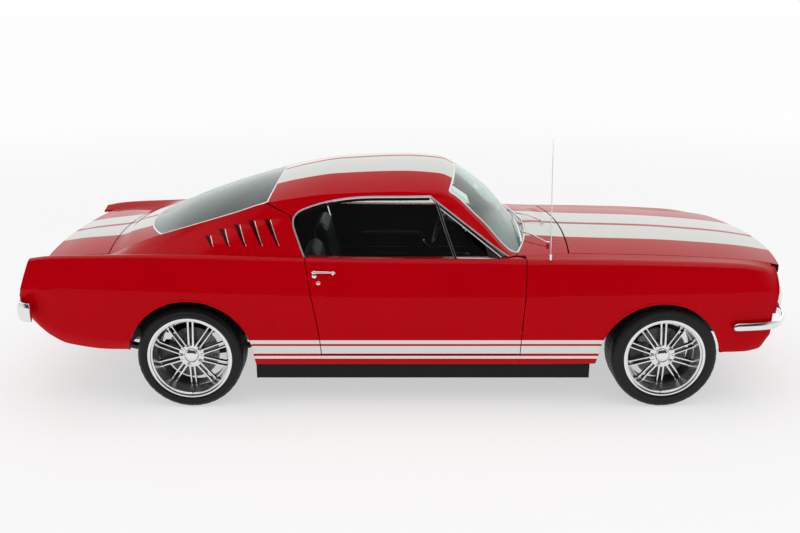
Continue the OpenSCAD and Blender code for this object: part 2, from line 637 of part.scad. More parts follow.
// Bumper blade: section with a rounded face
function blade(h, d) = [for (a = [-90:30:90]) [d * cos(a), h / 2 * sin(a)], [-4, h / 2 - 6], [-4, 6 - h / 2]];
module front_bumper() {
  z = 498;
  p = [[xf + 374, -hw + 38, z], [xf + 480, -hw + 48, z], [xf + 590, -hw + 72, z], [xf + 662, -hw + 120, z],
    [xf + 742, -600, z], [xf + 790, -320, z], [nose_x - 17, 0, z], [xf + 790, 320, z], [xf + 742, 600, z],
    [xf + 662, hw - 120, z], [xf + 590, hw - 72, z], [xf + 480, hw - 48, z], [xf + 374, hw - 38, z]];
  color(chrome) union() {
    bar(curve(p, 30), blade(blade_h, 17));
    both() {
      profile_y(-412, -342, [[xf + 760, 468], [xf + 802, 468], [xf + 816, 486], [xf + 818, 530], [xf + 812, 580],
        [xf + 796, 620], [xf + 776, 620], [xf + 764, 540]]);
      box([xf + 560.3, -428, 484], [xf + 776, -372, 518]);
    }
  }
}
module rear_bumper() {
  z = 590;
  p = [[xr - 874, hw - 22, z], [xr - 920, hw - 34, z], [xr - 962, hw - 84, z], [xr - 996, 600, z],
    [xr - 1016, 320, z], [tail_x + 18, 0, z], [xr - 1016, -320, z], [xr - 996, -600, z],
    [xr - 962, -hw + 84, z], [xr - 920, -hw + 34, z], [xr - 874, -hw + 22, z]];
  color(chrome) union() {
    bar(curve(p, 26), blade(112, 18));
    both() box([xr - 1008, -520, 565], [tail_end(640) - 8, -470, 605]);
    // Bracket for a licence plate, with its two bolt holes
    difference() {
      box([tail_x + 18, -150, 446], [tail_x + 22, 150, 560]);
      for (y = [-89, 89]) rod_x(y, 500, tail_x, tail_x + 40, 3.2);
    }
  }
}

// Cabin

module dashboard() {
  x = xf - 880;
  color(dark) union() {
    profile_y(-650, 650, [[x, 700], [x + 60, 640], [x + 110, 640], [x + 118, 830], [x + 40, 868], [x - 70, 872],
      [x - 110, 846], [x - 70, 820], [x - 60, 740]]);
    translate([col_x, seat_y, col_z]) rotate([0, col_tilt, 0]) cylinder(h = 330, r = 24);
    both() box([x + 20, -666, 660], [firewall_x - 20.3, -640, 820]);
  }
}
col_x = xf - 1200;
col_z = 838;
col_tilt = 110;
module steering_wheel() {
  color(dark) translate([col_x, seat_y, col_z]) rotate([0, col_tilt, 0]) translate([0, 0, -40]) union() {
    rotate_extrude() translate([steer_r - 13, 0]) circle(r = 13);
    difference() {
      cylinder(h = 39.7, r = 34);
      translate([0, 0, -1]) cylinder(h = 8, r = 20);
    }
    for (a = [0, 120, 240]) rotate([0, 0, a]) translate([28, -11, 0]) cube([steer_r - 46, 22, 6]);
  }
}
// Seat cushion and back in side view
module seat(x, w) {
  profile_y(-w / 2, w / 2, [[x - 10, 330], [x + 470, 330], [x + 500, 372], [x + 490, 440], [x + 430, 468],
    [x + 40, 424], [x - 96, 872], [x - 126, 896], [x - 170, 888], [x - 190, 850], [x - 70, 380]]);
}
module front_seats() {
  color(dark) both() translate([0, -seat_y, 0]) union() {
    seat(xr + 815, 456);
    box([xr + 830, -200, floor_z + 20.3], [xr + 1240, -150, 331]);
    box([xr + 830, 150, floor_z + 20.3], [xr + 1240, 200, 331]);
  }
}
module rear_seat() {
  x = xr + 160;
  color(dark) profile_y(-530, 530, [[x + 236, 484.3], [x + 330, 500], [x + 380, 520], [x + 372, 560], [x + 320, 572],
    [x + 40, 540], [x - 76, 830], [x - 110, 850], [x - 150, 834], [x - 60, 500], [x - 50, 484.3]]);
}

// Drive train and underside

module engine() {
  x = xf - 420;
  color(steel) union() {
    box([x, -170, 300], [x + 500, 170, 520]);
    both() translate([x, 0, 420]) rotate([-45, 0, 0]) translate([0, -115, 60]) cube([500, 190, 200]);
    both() translate([x + 10, 0, 420]) rotate([-45, 0, 0]) translate([10, -95, 250]) cube([470, 150, 60]);
    box([x + 40, -130, 190], [x + 250, 130, 310]);
    translate([x + 250, 0, 500]) cylinder(h = 200, r = 80);
    translate([x + 250, 0, 690]) cylinder(h = 80, r = 190);
    translate([x + 250, 0, 769]) cylinder(h = 14, r = 12);
    rod_x(0, 400, x + 495, x + 560, 90);
    rod_x(0, 360, x - 170, x + 10, 150);
    rod_x(0, 305, x - 820, x - 160, 70);
    both() box([x + 200, -369.7, 380], [x + 260, -160, 418]);
  }
}
module radiator() {
  color(dark) union() {
    box([xf + 512, -300, 384], [xf + 544.7, 300, 728]);
    box([xf + 505, -310, 720], [xf + 544.7, 310, 752]);
    box([xf + 505, -310, 362], [xf + 544.7, 310, 392]);
  }
}

// Leaf spring as a bent strip
module leaf() {
  n = 12;
  o = [for (k = [0:n]) let (u = 2 * k / n - 1) [xr - 60 + 440 * u, axle_z - 68 + 70 * u * u]];
  profile_y(-545, -490, [each o, for (k = [n:-1:0]) o[k] - [0, 22]]);
  for (x = [xr - 500, xr + 360]) box([x, -540, axle_z - 20], [x + 20, -495, 469.7]);
}
module hub_side() {
  // Flange, spindle and brake caliper of one wheel
  rod_y(xr, axle_z, -wy - 30, -wy + 40, spindle_r);
  rod_y(xr, axle_z, -wy + 14, -wy + 40, 70);
  caliper(xr);
}
// Caliper over the rear edge of the disc
module caliper(x) {
  difference() {
    intersection() {
      difference() {
        rod_y(x, axle_z, -wy - 26, -wy + 36, disc_r + 28);
        rod_y(x, axle_z, -wy - 27, -wy + 37, disc_r - 50);
      }
      box([x - 260, -wy - 60, axle_z - 62], [x - 60, -wy + 60, axle_z + 62]);
    }
    rod_y(x, axle_z, -wy - 17, -wy + 9, disc_r + 6);
  }
  box([x - 124, -wy + 20, axle_z - 22], [x - 20, -wy + 36, axle_z + 22]);
}
module rear_axle() {
  color(steel) union() {
    rod_y(xr, axle_z, -wy + 35, wy - 35, 42);
    translate([xr, 0, axle_z]) sphere(r = 135);
    rod_x(0, axle_z, xr + 100, xr + 230, 60);
    rod_x(0, axle_z - 4, xr + 225, xf - 1240.3, 40);
    both() {
      hub_side();
      leaf();
      box([xr - 60, -550, axle_z - 95], [xr + 60, -485, axle_z - 30]);
      translate([xr - 30, -455, axle_z + 20]) cylinder(h = 399.7 - axle_z - 20, r = 24);
    }
  }
}

module front_suspension() {
  zl = axle_z - 108;
  zu = axle_z + 112;
  color(dark) union() {
    box([xf - 50, -372, zl - 26], [xf + 50, 372, zl + 26]);
    both() {
      box([xf - 40, -420, zl - 20], [xf + 40, -340, 329.7]);
      profile_z(zl - 12, zl + 12, [[xf - 60, -340], [xf - 24, -king_y], [xf + 24, -king_y], [xf + 60, -340]]);
      translate([xf, -king_y, zl - 14]) cylinder(h = 28, r = 24);
      profile_z(zu - 10, zu + 10, [[xf - 60, -438.3], [xf - 22, -king_y], [xf + 22, -king_y], [xf + 60, -438.3]]);
      translate([xf, -king_y, zu - 12]) cylinder(h = 24, r = 22);
      box([xf - 70, -447, zu - 24], [xf + 70, -438.3, zu + 24]);
    }
    rod_y(xf - 130, zl + 40, -360, 360, 12);
    both() box([xf - 145, -372, zl + 25], [xf - 40, -350, zl + 50]);
  }
}
// Outline in X and Y, extruded up from z0 to z1
module profile_z(z0, z1, p) { translate([0, 0, z0]) linear_extrude(z1 - z0) polygon(p); }

module knuckle_right() {
  zl = axle_z - 108;
  zu = axle_z + 112;
  color(steel) union() {
    translate([xf, -king_y, zl + 14.3]) cylinder(h = zu - zl - 26.6, r = 22);
    rod_y(xf, axle_z, -wy - 30, -king_y, spindle_r);
    rod_y(xf, axle_z, -wy + 14, -wy + 40, 60);
    translate([0, 0, 0]) caliper(xf);
  }
}
module knuckle_left() { left() knuckle_right(); }

module exhaust() {
  p = curve([[xf - 500, 235, 270], [xf - 720, 240, 170], [xf - 1100, 300, 160], [xr + 900, 320, 160],
    [xr + 560, 330, 160], [xr + 420, 338, 168], [xr + 260, 345, 270], [xr + 120, 345, 404], [xr - 80, 345, 412], [xr - 250, 385, 330],
    [xr - 380, 430, 300], [xr - 560, 442, 328], [xr - 690, 446, 330]], 26);
  color(steel) both() union() {
    tube([for (q = p) [q[0], -q[1], q[2]]], pipe_r, 8);
    translate([xr + 720, -322, 160]) rotate([0, 90, 0]) cylinder(h = 420, r = 36);
    translate([xr + 110, -345, 400]) cylinder(h = 69.7, r = 8);
    translate([xr - 640, -445, 340]) cylinder(h = 59.7, r = 8);
  }
}
module fuel_tank() {
  x = xr - 760;
  color(steel) profile_y(-400, 400, [[x, 360], [x + 60, 330], [x + 340, 330], [x + 390, 370], [x + 390, 470], [x, 470]]);
}

// Small outside pieces

module wiper(y0, lift) {
  b = top(hood_r - 130, y0 / line_y(hood_r - 130, EDGE));
  path = [for (u = [0:0.125:1]) let (y = y0 + 380 * u, x = wind_b - 4 - 62 * u)
    top(x, y / line_y(x, EDGE), 0, -16)];
  union() {
    translate(b + [0, 0, lift]) cylinder(h = 20, r = 11);
    tube([b + [0, 0, 14], lerp(b + [0, 0, 14], path[4], 0.5) + [0, 0, 10], path[4]], 4, 6);
    tube(path, 5, 6);
  }
}
module wipers() {
  color(chrome) {
    wiper(-520, 1.6);
    wiper(-40, 0.7);
  }
}
ant_x = xf - 674;
module antenna() {
  b = side(ant_x, 3.6, 0);
  color(chrome) union() {
    translate(b + [0, 0, 1]) cylinder(h = 29, r = 9);
    tube([b + [0, 0, 20], [b[0] - 16, b[1], antenna_h]], 3, 8);
  }
}

// Wheels: built with the axis along Y, outside face towards -Y

module spoke_star(r) {
  circle(r = 60);
  for (k = [0:spokes - 1]) for (a = [-12, 12]) rotate(360 * k / spokes)
    polygon([[a - 5.5, -48], [a + 5.5, -48], [a + 5, -r + 26], [a - 5, -r + 26]]);
}
rim_w = 228;
module rim(r) {
  h = rim_w / 2;
  rotate([90, 0, 0]) rotate_extrude() polygon([[r, h], [r, h - 8], [r - 20, h - 20], [r - 22, h - 70],
    [r - 34, h - 90], [r - 34, 40 - h], [r - 18, 24 - h], [r - 16, 12 - h], [r, 8 - h], [r, -h],
    [r - 8, -h], [r - 24, 10 - h], [r - 41, 34 - h], [r - 41, h - 84], [r - 30, h - 64],
    [r - 29, h - 16], [r - 8, h]]);
  // Hub with its cap, brake disc and the bore for the spindle
  rotate([90, 0, 0]) rotate_extrude() polygon([[0, h - 30], [34, h - 30], [34, h - 40], [62, h - 40], [62, h - 60],
    [74, h - 60], [74, 12], [disc_r, 12], [disc_r, -4], [spindle_r + run_c, -4], [spindle_r + run_c, 31], [0, 31]]);
  translate([0, 46 - h, 0]) rotate([-90, 0, 0]) linear_extrude(18) spoke_star(r);
}
module tyre(r) {
  h = tyre_w / 2;
  b = r - 18;
  rotate([90, 0, 0]) rotate_extrude() polygon([[b + 1, rim_w / 2 - 24], [r + 1, rim_w / 2 - 12],
    [r + 1, rim_w / 2 - 2], [r + 14, h - 2], [r + 30, h], [tyre_r - 22, h - 3], [tyre_r - 8, h - 12],
    [tyre_r - 2, h - 26], [tyre_r, h - 48], [tyre_r, h - 66], [tyre_r - 7, h - 67], [tyre_r - 7, h - 73],
    [tyre_r, h - 74], [tyre_r, 5], [tyre_r - 7, 4], [tyre_r - 7, -4], [tyre_r, -5], [tyre_r, 74 - h],
    [tyre_r - 7, 73 - h], [tyre_r - 7, 67 - h], [tyre_r, 66 - h], [tyre_r, 48 - h], [tyre_r - 2, 26 - h],
    [tyre_r - 8, 12 - h], [tyre_r - 22, 3 - h], [r + 30, -h], [r + 14, 2 - h], [r + 1, 2 - rim_w / 2],
    [r + 1, 12 - rim_w / 2], [b + 1, 24 - rim_w / 2]]);
}
module place(x) { translate([x, -wy, axle_z]) children(); }
module rim_front_right() { color(chrome) place(xf) rim(front_rim_r); }
module rim_rear_right() { color(chrome) place(xr) rim(rim_r); }
module rim_front_left() { left() rim_front_right(); }
module rim_rear_left() { left() rim_rear_right(); }
module tyre_front_right() { color(dark) place(xf) tyre(front_rim_r); }
module tyre_rear_right() { color(dark) place(xr) tyre(rim_r); }
module tyre_front_left() { left() tyre_front_right(); }
module tyre_rear_left() { left() tyre_rear_right(); }

floor_pan();
rockers();
engine_bay();
cowl();
roof();
pillars();
quarter_right();
quarter_left();
deck_panel();
tail_panel();
fender_right();
fender_left();
lamp_buckets();
nose_panel();
grille();
headlamps();
tail_lamps();
front_bumper();
rear_bumper();
windshield();
rear_window();
dashboard();
steering_wheel();
front_seats();
rear_seat();
engine();
radiator();
rear_axle();
front_suspension();
exhaust();
fuel_tank();
wipers();
antenna();
hood();
trunk_lid();
door_right();
door_left();
door_glass_right();
door_glass_left();
handle_right();
handle_left();
knuckle_right();
knuckle_left();
rim_front_right();
rim_front_left();
rim_rear_right();
rim_rear_left();
tyre_front_right();
tyre_front_left();
tyre_rear_right();
tyre_rear_left();
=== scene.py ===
"""Two-door fastback muscle car: its looks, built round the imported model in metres, +X forward, +Y left."""
import logging
import math
from bisect import bisect_right
from collections.abc import Callable, Sequence
from dataclasses import dataclass, field
from enum import Enum

import bmesh
import bpy
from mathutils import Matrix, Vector


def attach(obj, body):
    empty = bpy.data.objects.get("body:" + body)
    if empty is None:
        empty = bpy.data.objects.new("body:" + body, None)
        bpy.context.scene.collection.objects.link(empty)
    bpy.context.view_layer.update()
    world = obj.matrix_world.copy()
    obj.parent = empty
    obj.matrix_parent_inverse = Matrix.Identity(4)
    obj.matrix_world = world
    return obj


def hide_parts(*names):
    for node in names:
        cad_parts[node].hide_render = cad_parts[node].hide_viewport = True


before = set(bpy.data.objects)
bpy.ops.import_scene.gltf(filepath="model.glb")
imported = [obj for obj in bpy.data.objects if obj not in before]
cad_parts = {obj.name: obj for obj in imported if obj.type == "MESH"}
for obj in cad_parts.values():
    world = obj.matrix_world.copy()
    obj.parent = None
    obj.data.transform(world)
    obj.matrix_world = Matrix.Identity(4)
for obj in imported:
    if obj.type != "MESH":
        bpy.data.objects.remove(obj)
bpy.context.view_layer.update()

LOG = logging.getLogger("car")
MM = 0.001
Grid = list[list[Vector]]
Colour = tuple[float, float, float, float]
Outline = Sequence[tuple[float, float]]


def lerp(a, b, t: float):
    """Value a fraction t of the way from a to b."""
    return a + (b - a) * t


def clamp(v: float, a: float, b: float) -> float:
    """v held between a and b."""
    return min(max(v, a), b)


def span(a: float, b: float, n: int) -> list[float]:
    """n + 1 even values from a to b."""
    return [lerp(a, b, k / n) for k in range(n + 1)]


def turns(n: int) -> list[float]:
    """n even angles round a circle, in radians."""
    return [2 * math.pi * k / n for k in range(n)]


def squircle(w: float, h: float, p: float, q: float, n: int) -> list[tuple[float, float]]:
    """Rounded oblong outline, squarer as the powers p and q fall.

    Args:
        w: Half width.
        h: Half height.
        p: Power across.
        q: Power up.
        n: Number of points.
    Returns:
        The outline about its middle.
    """
    swell = lambda v, e: math.copysign(abs(v) ** e, v)
    return [(w * swell(math.cos(a), p), h * swell(math.sin(a), q)) for a in turns(n)]


def curve(points: Sequence, n: int) -> list[Vector]:
    """Smooth path through a few points.

    Args:
        points: The points it passes through.
        n: Number of steps.
    Returns:
        n + 1 points along the path.
    """
    p = [Vector(q) for q in points]
    out = []
    for j in range(n + 1):
        u = j * (len(p) - 1) / n
        i = min(int(u), len(p) - 2)
        t = u - i
        a, b, c, d = p[max(i - 1, 0)], p[i], p[i + 1], p[min(i + 2, len(p) - 1)]
        square, cube = 2 * a - 5 * b + 4 * c - d, 3 * b - a - 3 * c + d
        out.append(0.5 * (2 * b + (c - a) * t + square * t * t + cube * t ** 3))
    return out


class Val:
    """A shader socket that takes part in Python expressions."""

    def __init__(self, tree: "Tree", socket: bpy.types.NodeSocket) -> None:
        """Wraps a socket of a tree."""
        self.tree = tree
        self.socket = socket

    def _op(self, operation: str, a, b=0.0) -> "Val":
        """A Math node on two values."""
        return self.tree.node("ShaderNodeMath", settings={"operation": operation}, inputs={0: a, 1: b})

    def __add__(self, o) -> "Val":
        """Sum."""
        return self._op("ADD", self, o)

    __radd__ = __add__

    def __sub__(self, o) -> "Val":
        """Difference."""
        return self._op("SUBTRACT", self, o)

    def __rsub__(self, o) -> "Val":
        """Reflected difference."""
        return self._op("SUBTRACT", o, self)

    def __mul__(self, o) -> "Val":
        """Product."""
        return self._op("MULTIPLY", self, o)

    __rmul__ = __mul__

    def __truediv__(self, o) -> "Val":
        """Quotient."""
        return self._op("DIVIDE", self, o)

    def __pow__(self, o) -> "Val":
        """Power."""
        return self._op("POWER", self, o)

    def __abs__(self) -> "Val":
        """Size without the sign."""
        return self._op("ABSOLUTE", self)

    def most(self, o) -> "Val":
        """The larger of two values."""
        return self._op("MAXIMUM", self, o)

    def ramp(self, a: float, b: float, lo: float = 0.0, hi: float = 1.0) -> "Val":
        """lo at a, hi at b, eased between and held outside."""
        limits = {"From Min": a, "From Max": b, "To Min": lo, "To Max": hi}
        return self.tree.node("ShaderNodeMapRange", settings={"interpolation_type": "SMOOTHSTEP"},
                              inputs={"Value": self, **limits})

    def within(self, a: float, b: float, edge: float = 0.0006) -> "Val":
        """1 between a and b, 0 outside."""
        return self.ramp(a - edge, a + edge) * (1 - self.ramp(b - edge, b + edge))


class Tree:
    """The nodes of one material or of the world."""

    def __init__(self, owner) -> None:
        """Starts an empty tree on a material or world."""
        owner.use_nodes = True
        self.nodes = owner.node_tree.nodes
        self.links = owner.node_tree.links
        self.nodes.clear()
        self.xyz: tuple[Val, Val, Val] | None = None

    def node(self, kind: str, out: str | int = 0, settings: dict | None = None,
             inputs: dict | None = None) -> Val:
        """Adds one node.

        Args:
            kind: Blender's name of the node type.
            out: Name or number of the output wanted.
            settings: Properties set first.
            inputs: Values or links by socket name or number.
        Returns:
            The wanted output.
        """
        n = self.nodes.new(kind)
        for key, value in (settings or {}).items():
            setattr(n, key, value)
        for key, value in (inputs or {}).items():
            if isinstance(value, Val):
                self.links.new(value.socket, n.inputs[key])
            else:
                n.inputs[key].default_value = value
        return Val(self, n.outputs[out]) if n.outputs else Val(self, None)

    def coords(self) -> tuple[Val, Val, Val]:
        """x, y and z of the piece in the car's own frame, in metres."""
        if self.xyz is None:
            p = self.place()
            self.xyz = tuple(self.node("ShaderNodeSeparateXYZ", k, inputs={0: p}) for k in range(3))
        return self.xyz

    def place(self) -> Val:
        """The point on the piece as a vector."""
        return self.node("ShaderNodeTexCoord", "Object")

    def noise(self, scale: float, detail: float) -> Val:
        """Cloudy noise from 0 to 1, with features about 1/scale metres wide."""
        return self.node("ShaderNodeTexNoise", "Fac",
                         inputs={"Vector": self.place(), "Scale": scale, "Detail": detail})

    def cells(self, scale: float) -> Val:
        """Distance to the nearest cell point, for grain and flakes."""
        return self.node("ShaderNodeTexVoronoi", "Distance", inputs={"Vector": self.place(), "Scale": scale})

    def wave(self, v: Val) -> Val:
        """Sine of a value."""
        return self.node("ShaderNodeMath", settings={"operation": "SINE"}, inputs={0: v})

    def rise(self) -> Val:
        """How far the piece's own surface looks up, from -1 to 1."""
        return self.node("ShaderNodeSeparateXYZ", 2, inputs={0: self.node("ShaderNodeTexCoord", "Normal")})

    def mix(self, fac, a, b) -> Val:
        """Colour a at 0, b at 1."""
        return self.node("ShaderNodeMix", 2, settings={"data_type": "RGBA"}, inputs={0: fac, 6: a, 7: b})

    def bump(self, height: Val, strength: float, distance: float = 0.001) -> Val:
        """Normal from a height map."""
        return self.node("ShaderNodeBump",
                         inputs={"Strength": strength, "Distance": distance, "Height": height})

    def surface(self, **sockets) -> Val:
        """A Principled shader; socket names with underscores for spaces."""
        return self.node("ShaderNodeBsdfPrincipled",
                         inputs={k.replace("_", " "): v for k, v in sockets.items()})

    def output(self, shader: Val, world: bool = False) -> None:
        """Joins the shader to the output."""
        self.node("ShaderNodeOutputWorld" if world else "ShaderNodeOutputMaterial",
                  inputs={"Surface": shader})


def rgb(r: float, g: float, b: float) -> Colour:
    """A colour with full alpha."""
    return (r, g, b, 1.0)


def tone(colour: Colour, k: float, add: float = 0.0) -> Colour:
    """A colour k times as bright, plus a little."""
    return rgb(*[min(1.0, c * k + add) for c in colour[:3]])


class Stripes(Enum):
    """Where white stripes run on a painted piece."""

    NONE = 0
    TOP = 1
    SIDE = 2


class Finish:
    """A material made once and shared."""

    made: dict["Finish", bpy.types.Material] = {}

    def dress(self, t: Tree) -> Val:
        """Builds the shader; each finish has its own."""
        raise NotImplementedError

    def material(self) -> bpy.types.Material:
        """The Blender material of this finish."""
        if self not in Finish.made:
            m = bpy.data.materials.new(f"{type(self).__name__.lower()}_{len(Finish.made)}")
            t = Tree(m)
            t.output(self.dress(t))
            Finish.made[self] = m
        return Finish.made[self]


@dataclass(frozen=True)
class Paint(Finish):
    """Glossy lacquer over colour, with white stripes laid under the clear coat."""

    colour: Colour = rgb(0.53, 0.0003, 0.005)
    white: Colour = rgb(0.80, 0.81, 0.77)
    plan: Stripes = Stripes.NONE

    def stripes(self, t: Tree) -> Val | float:
        """Mask of the stripes, by place on the car."""
        x, y, z = t.coords()
        if self.plan is Stripes.TOP:
            half = x.ramp(-2.12, -1.25, 0.268, 0.338)
            return abs(y).ramp(0.0255, 0.0265) * (1 - ((abs(y) - half) / 0.001).ramp(-0.5, 0.5))
        if self.plan is Stripes.SIDE:
            bands = z.within(0.400, 0.423) + z.within(0.341, 0.388) + z.within(0.305, 0.325)
            return bands * x.within(-1.12, 1.30) * abs(y).ramp(0.77, 0.78)
        return 0.0

    def dress(self, t: Tree) -> Val:
        """Colour coat with faint flow, clear coat with a trace of orange peel."""
        flow = t.noise(3.0, 3.0)
        base = t.mix(flow.ramp(0.35, 0.7, 0.0, 0.16), self.colour, tone(self.colour, 0.72))
        if self.plan is not Stripes.NONE:
            base = t.mix(self.stripes(t), base, self.white)
        peel = t.bump(t.noise(420.0, 1.0), 0.02, 0.0006)
        return t.surface(Base_Color=base, Roughness=t.noise(9.0, 3.0).ramp(0.3, 0.75, 0.30, 0.40),
                         Normal=peel, Specular_IOR_Level=0.0, Coat_Weight=t.rise().ramp(0.0, 0.7, 0.5, 0.8),
                         Coat_Roughness=0.03, Coat_IOR=1.2)


@dataclass(frozen=True)
class Metal(Finish):
    """Bare or plated metal."""

    colour: Colour = rgb(0.80, 0.81, 0.82)
    rough: float = 0.07
    grain: float = 0.02
    scale: float = 60.0

    def dress(self, t: Tree) -> Val:
        """Metal with cloudy polish marks and a few dull spots."""
        cloud = t.noise(self.scale, 4.0)
        spots = t.noise(14.0, 3.0).ramp(0.62, 0.8, 0.0, 1.0)
        base = t.mix(spots * 0.35, self.colour, tone(self.colour, 0.72))
        return t.surface(Base_Color=base, Metallic=1.0,
                         Roughness=cloud.ramp(0.2, 0.8, self.rough, self.rough + 0.07),
                         Normal=t.bump(cloud, self.grain, 0.0008))


@dataclass(frozen=True)
class Cast(Finish):
    """Painted or rusty castings and pressed steel."""

    colour: Colour = rgb(0.035, 0.036, 0.038)
    wear: Colour = rgb(0.16, 0.13, 0.11)
    rough: float = 0.55
    metal: float = 0.0

    def dress(self, t: Tree) -> Val:
        """Sandy casting skin with cloudy patches of dust."""
        skin = t.cells(340.0)
        dust = t.noise(11.0, 5.0).ramp(0.48, 0.78, 0.0, 0.55)
        return t.surface(Base_Color=t.mix(dust, self.colour, self.wear), Metallic=self.metal,
                         Roughness=dust * 0.3 + self.rough, Normal=t.bump(skin, 0.25, 0.0008))


@dataclass(frozen=True)
class Rubber(Finish):
    """Black tyre rubber with sidewall rings, or plain seals."""

    centre: tuple[float, float] | None = None

    def dress(self, t: Tree) -> Val:
        """Matt rubber, dustier on the tread, ribbed on the sidewall."""
        dust = t.noise(26.0, 4.0).ramp(0.4, 0.8, 0.0, 0.5)
        base = t.mix(dust, rgb(0.005, 0.005, 0.0055), rgb(0.014, 0.0135, 0.013))
        height = t.noise(700.0, 2.0)
        if self.centre:
            x, _, z = t.coords()
            r = ((x - self.centre[0]) ** 2.0 + (z - self.centre[1]) ** 2.0) ** 0.5
            base = t.mix(r.ramp(0.295, 0.301, 0.0, 0.6), base, rgb(0.022, 0.021, 0.020))
            ribs = t.wave(r * 1500.0)
            height = height * 0.4 + ribs * r.within(0.266, 0.284, 0.004)
        return t.surface(Base_Color=base, Roughness=dust * 0.2 + 0.42, Specular_IOR_Level=0.3,
                         Normal=t.bump(height, 0.35, 0.0009))


@dataclass(frozen=True)
class Vinyl(Finish):
    """Grained vinyl."""

    colour: Colour = rgb(0.008, 0.008, 0.0085)
    rough: float = 0.42

    def dress(self, t: Tree) -> Val:
        """Leather-like grain and scuffs."""
        grain = t.cells(520.0)
        scuff = t.noise(7.0, 4.0).ramp(0.5, 0.8, 0.0, 0.35)
        base = t.mix(scuff, self.colour, tone(self.colour, 1.9, 0.004))
        return t.surface(Base_Color=base, Roughness=scuff * 0.3 + self.rough,
                         Normal=t.bump(grain * 0.5, 0.4, 0.0012))


@dataclass(frozen=True)
class Carpet(Finish):
    """Floor pan: pile above, black sealer below."""

    def dress(self, t: Tree) -> Val:
        """Loop pile where the pan faces up in the cabin, rough sealer elsewhere."""
        up = t.rise().ramp(0.4, 0.6)
        pile = t.cells(420.0)
        clumps = t.noise(30.0, 4.0)
        base = t.mix(up * clumps, rgb(0.012, 0.012, 0.013), rgb(0.036, 0.035, 0.036))
        return t.surface(Base_Color=base, Roughness=up.ramp(0, 1, 0.62, 0.95), Specular_IOR_Level=0.2,
                         Normal=t.bump(pile + clumps, 0.6, 0.002))


@dataclass(frozen=True)
class Glass(Finish):
    """Thin tinted glass: clear through, mirror at a glance."""

    tint: Colour = rgb(0.80, 0.88, 0.85)
    glance: float = 0.035

    def dress(self, t: Tree) -> Val:
        """Tinted see-through with a sharp reflection over it."""
        clear = t.node("ShaderNodeBsdfTransparent", inputs={"Color": self.tint})
        shine = t.node("ShaderNodeBsdfGlossy", inputs={"Color": rgb(0.95, 1.0, 0.98), "Roughness": 0.02})
        edge = t.node("ShaderNodeLayerWeight", "Facing", inputs={"Blend": 0.5}) ** 5.0
        film = t.noise(4.0, 4.0).ramp(0.4, 0.8, 0.0, 0.012)
        return t.node("ShaderNodeMixShader", inputs={0: edge * 0.85 + film + self.glance, 1: clear, 2: shine})


@dataclass(frozen=True)
class Lens(Finish):
    """Moulded lamp lens with flutes."""

    colour: Colour = rgb(0.36, 0.004, 0.006)
    pitch: float = 0.008
    clear: float = 0.0

    def dress(self, t: Tree) -> Val:
        """Coloured plastic or pressed glass with prisms in its back."""
        _, y, z = t.coords()
        flute = abs(t.wave(y * (math.pi / self.pitch)))
        cross = abs(t.wave(z * (math.pi / self.pitch / 2)))
        height = flute + cross * 0.5
        base = t.mix(flute * 0.5, self.colour, tone(self.colour, 1.7))
        return t.surface(Base_Color=base, Roughness=flute.ramp(0, 1, 0.05, 0.14), Coat_Weight=0.8,
                         Alpha=1 - self.clear * flute.ramp(0, 1, 1.0, 0.8),
                         Normal=t.bump(height, 0.35, 0.0015))


RED = Paint()
RED_TOP = Paint(plan=Stripes.TOP)
RED_SIDE = Paint(plan=Stripes.SIDE)
# Dark red: painted shade in the louver slots.
SHADOW = Paint(colour=rgb(0.13, 0.0003, 0.002))
# Near-black red: painted shade in the louver slots and in the gaps at the hood and trunk lid edges.
PAINTED_DEEP_SHADE = Paint(colour=rgb(0.022, 0.0004, 0.001))
# Pinkish metal: a painted highlight on the louver lips.
PAINTED_HIGHLIGHT = Metal(colour=rgb(0.90, 0.62, 0.62), rough=0.2, grain=0.0)
CHROME = Metal()
EDGING = Metal(colour=rgb(0.70, 0.69, 0.69), rough=0.3)
DULL = Metal(colour=rgb(0.50, 0.51, 0.52), rough=0.28, grain=0.06, scale=90.0)
DISC = Metal(colour=rgb(0.20, 0.20, 0.205), rough=0.34, grain=0.05, scale=160.0)
LIP = Metal(colour=rgb(0.86, 0.87, 0.88), rough=0.2, grain=0.01)
IRON = Cast()
STEEL = Cast(colour=rgb(0.20, 0.20, 0.205), wear=rgb(0.10, 0.075, 0.06), rough=0.42, metal=0.7)
ENGINE = Cast(colour=rgb(0.012, 0.055, 0.16), wear=rgb(0.03, 0.04, 0.06), rough=0.35)
SEALER = Cast(colour=rgb(0.010, 0.010, 0.011), wear=rgb(0.035, 0.032, 0.030), rough=0.6)
# Black trim, also used as painted shade: louver slots and slat undersides, rim wells, the plate behind the
# grille.
TRIM_AND_PAINTED_SHADE = Cast(colour=rgb(0.010, 0.010, 0.011), wear=rgb(0.022, 0.022, 0.023), rough=0.45)
VINYL = Vinyl()
LINING = Vinyl(colour=rgb(0.020, 0.0195, 0.019), rough=0.6)
GLASS = Glass()
SHADE = Glass(tint=rgb(0.34, 0.41, 0.39))
SIDE_GLASS = Glass(tint=rgb(0.90, 0.93, 0.92))
SEAL = Rubber()
RED_LENS = Lens()
LAMP_LENS = Lens(colour=rgb(0.85, 0.88, 0.88), pitch=0.012, clear=0.75)
AMBER = Lens(colour=rgb(0.55, 0.16, 0.01), pitch=0.007)
MIRROR = Metal(colour=rgb(0.90, 0.91, 0.92), rough=0.015, grain=0.0)


def soften(obj: bpy.types.Object, width: float, angle: float) -> None:
    """Rounds the edges of a piece that are sharper than an angle, over a width in millimetres."""
    m = obj.modifiers.new("edge", "BEVEL")
    m.width, m.segments = width * MM, 2
    m.limit_method, m.angle_limit = "ANGLE", math.radians(angle)


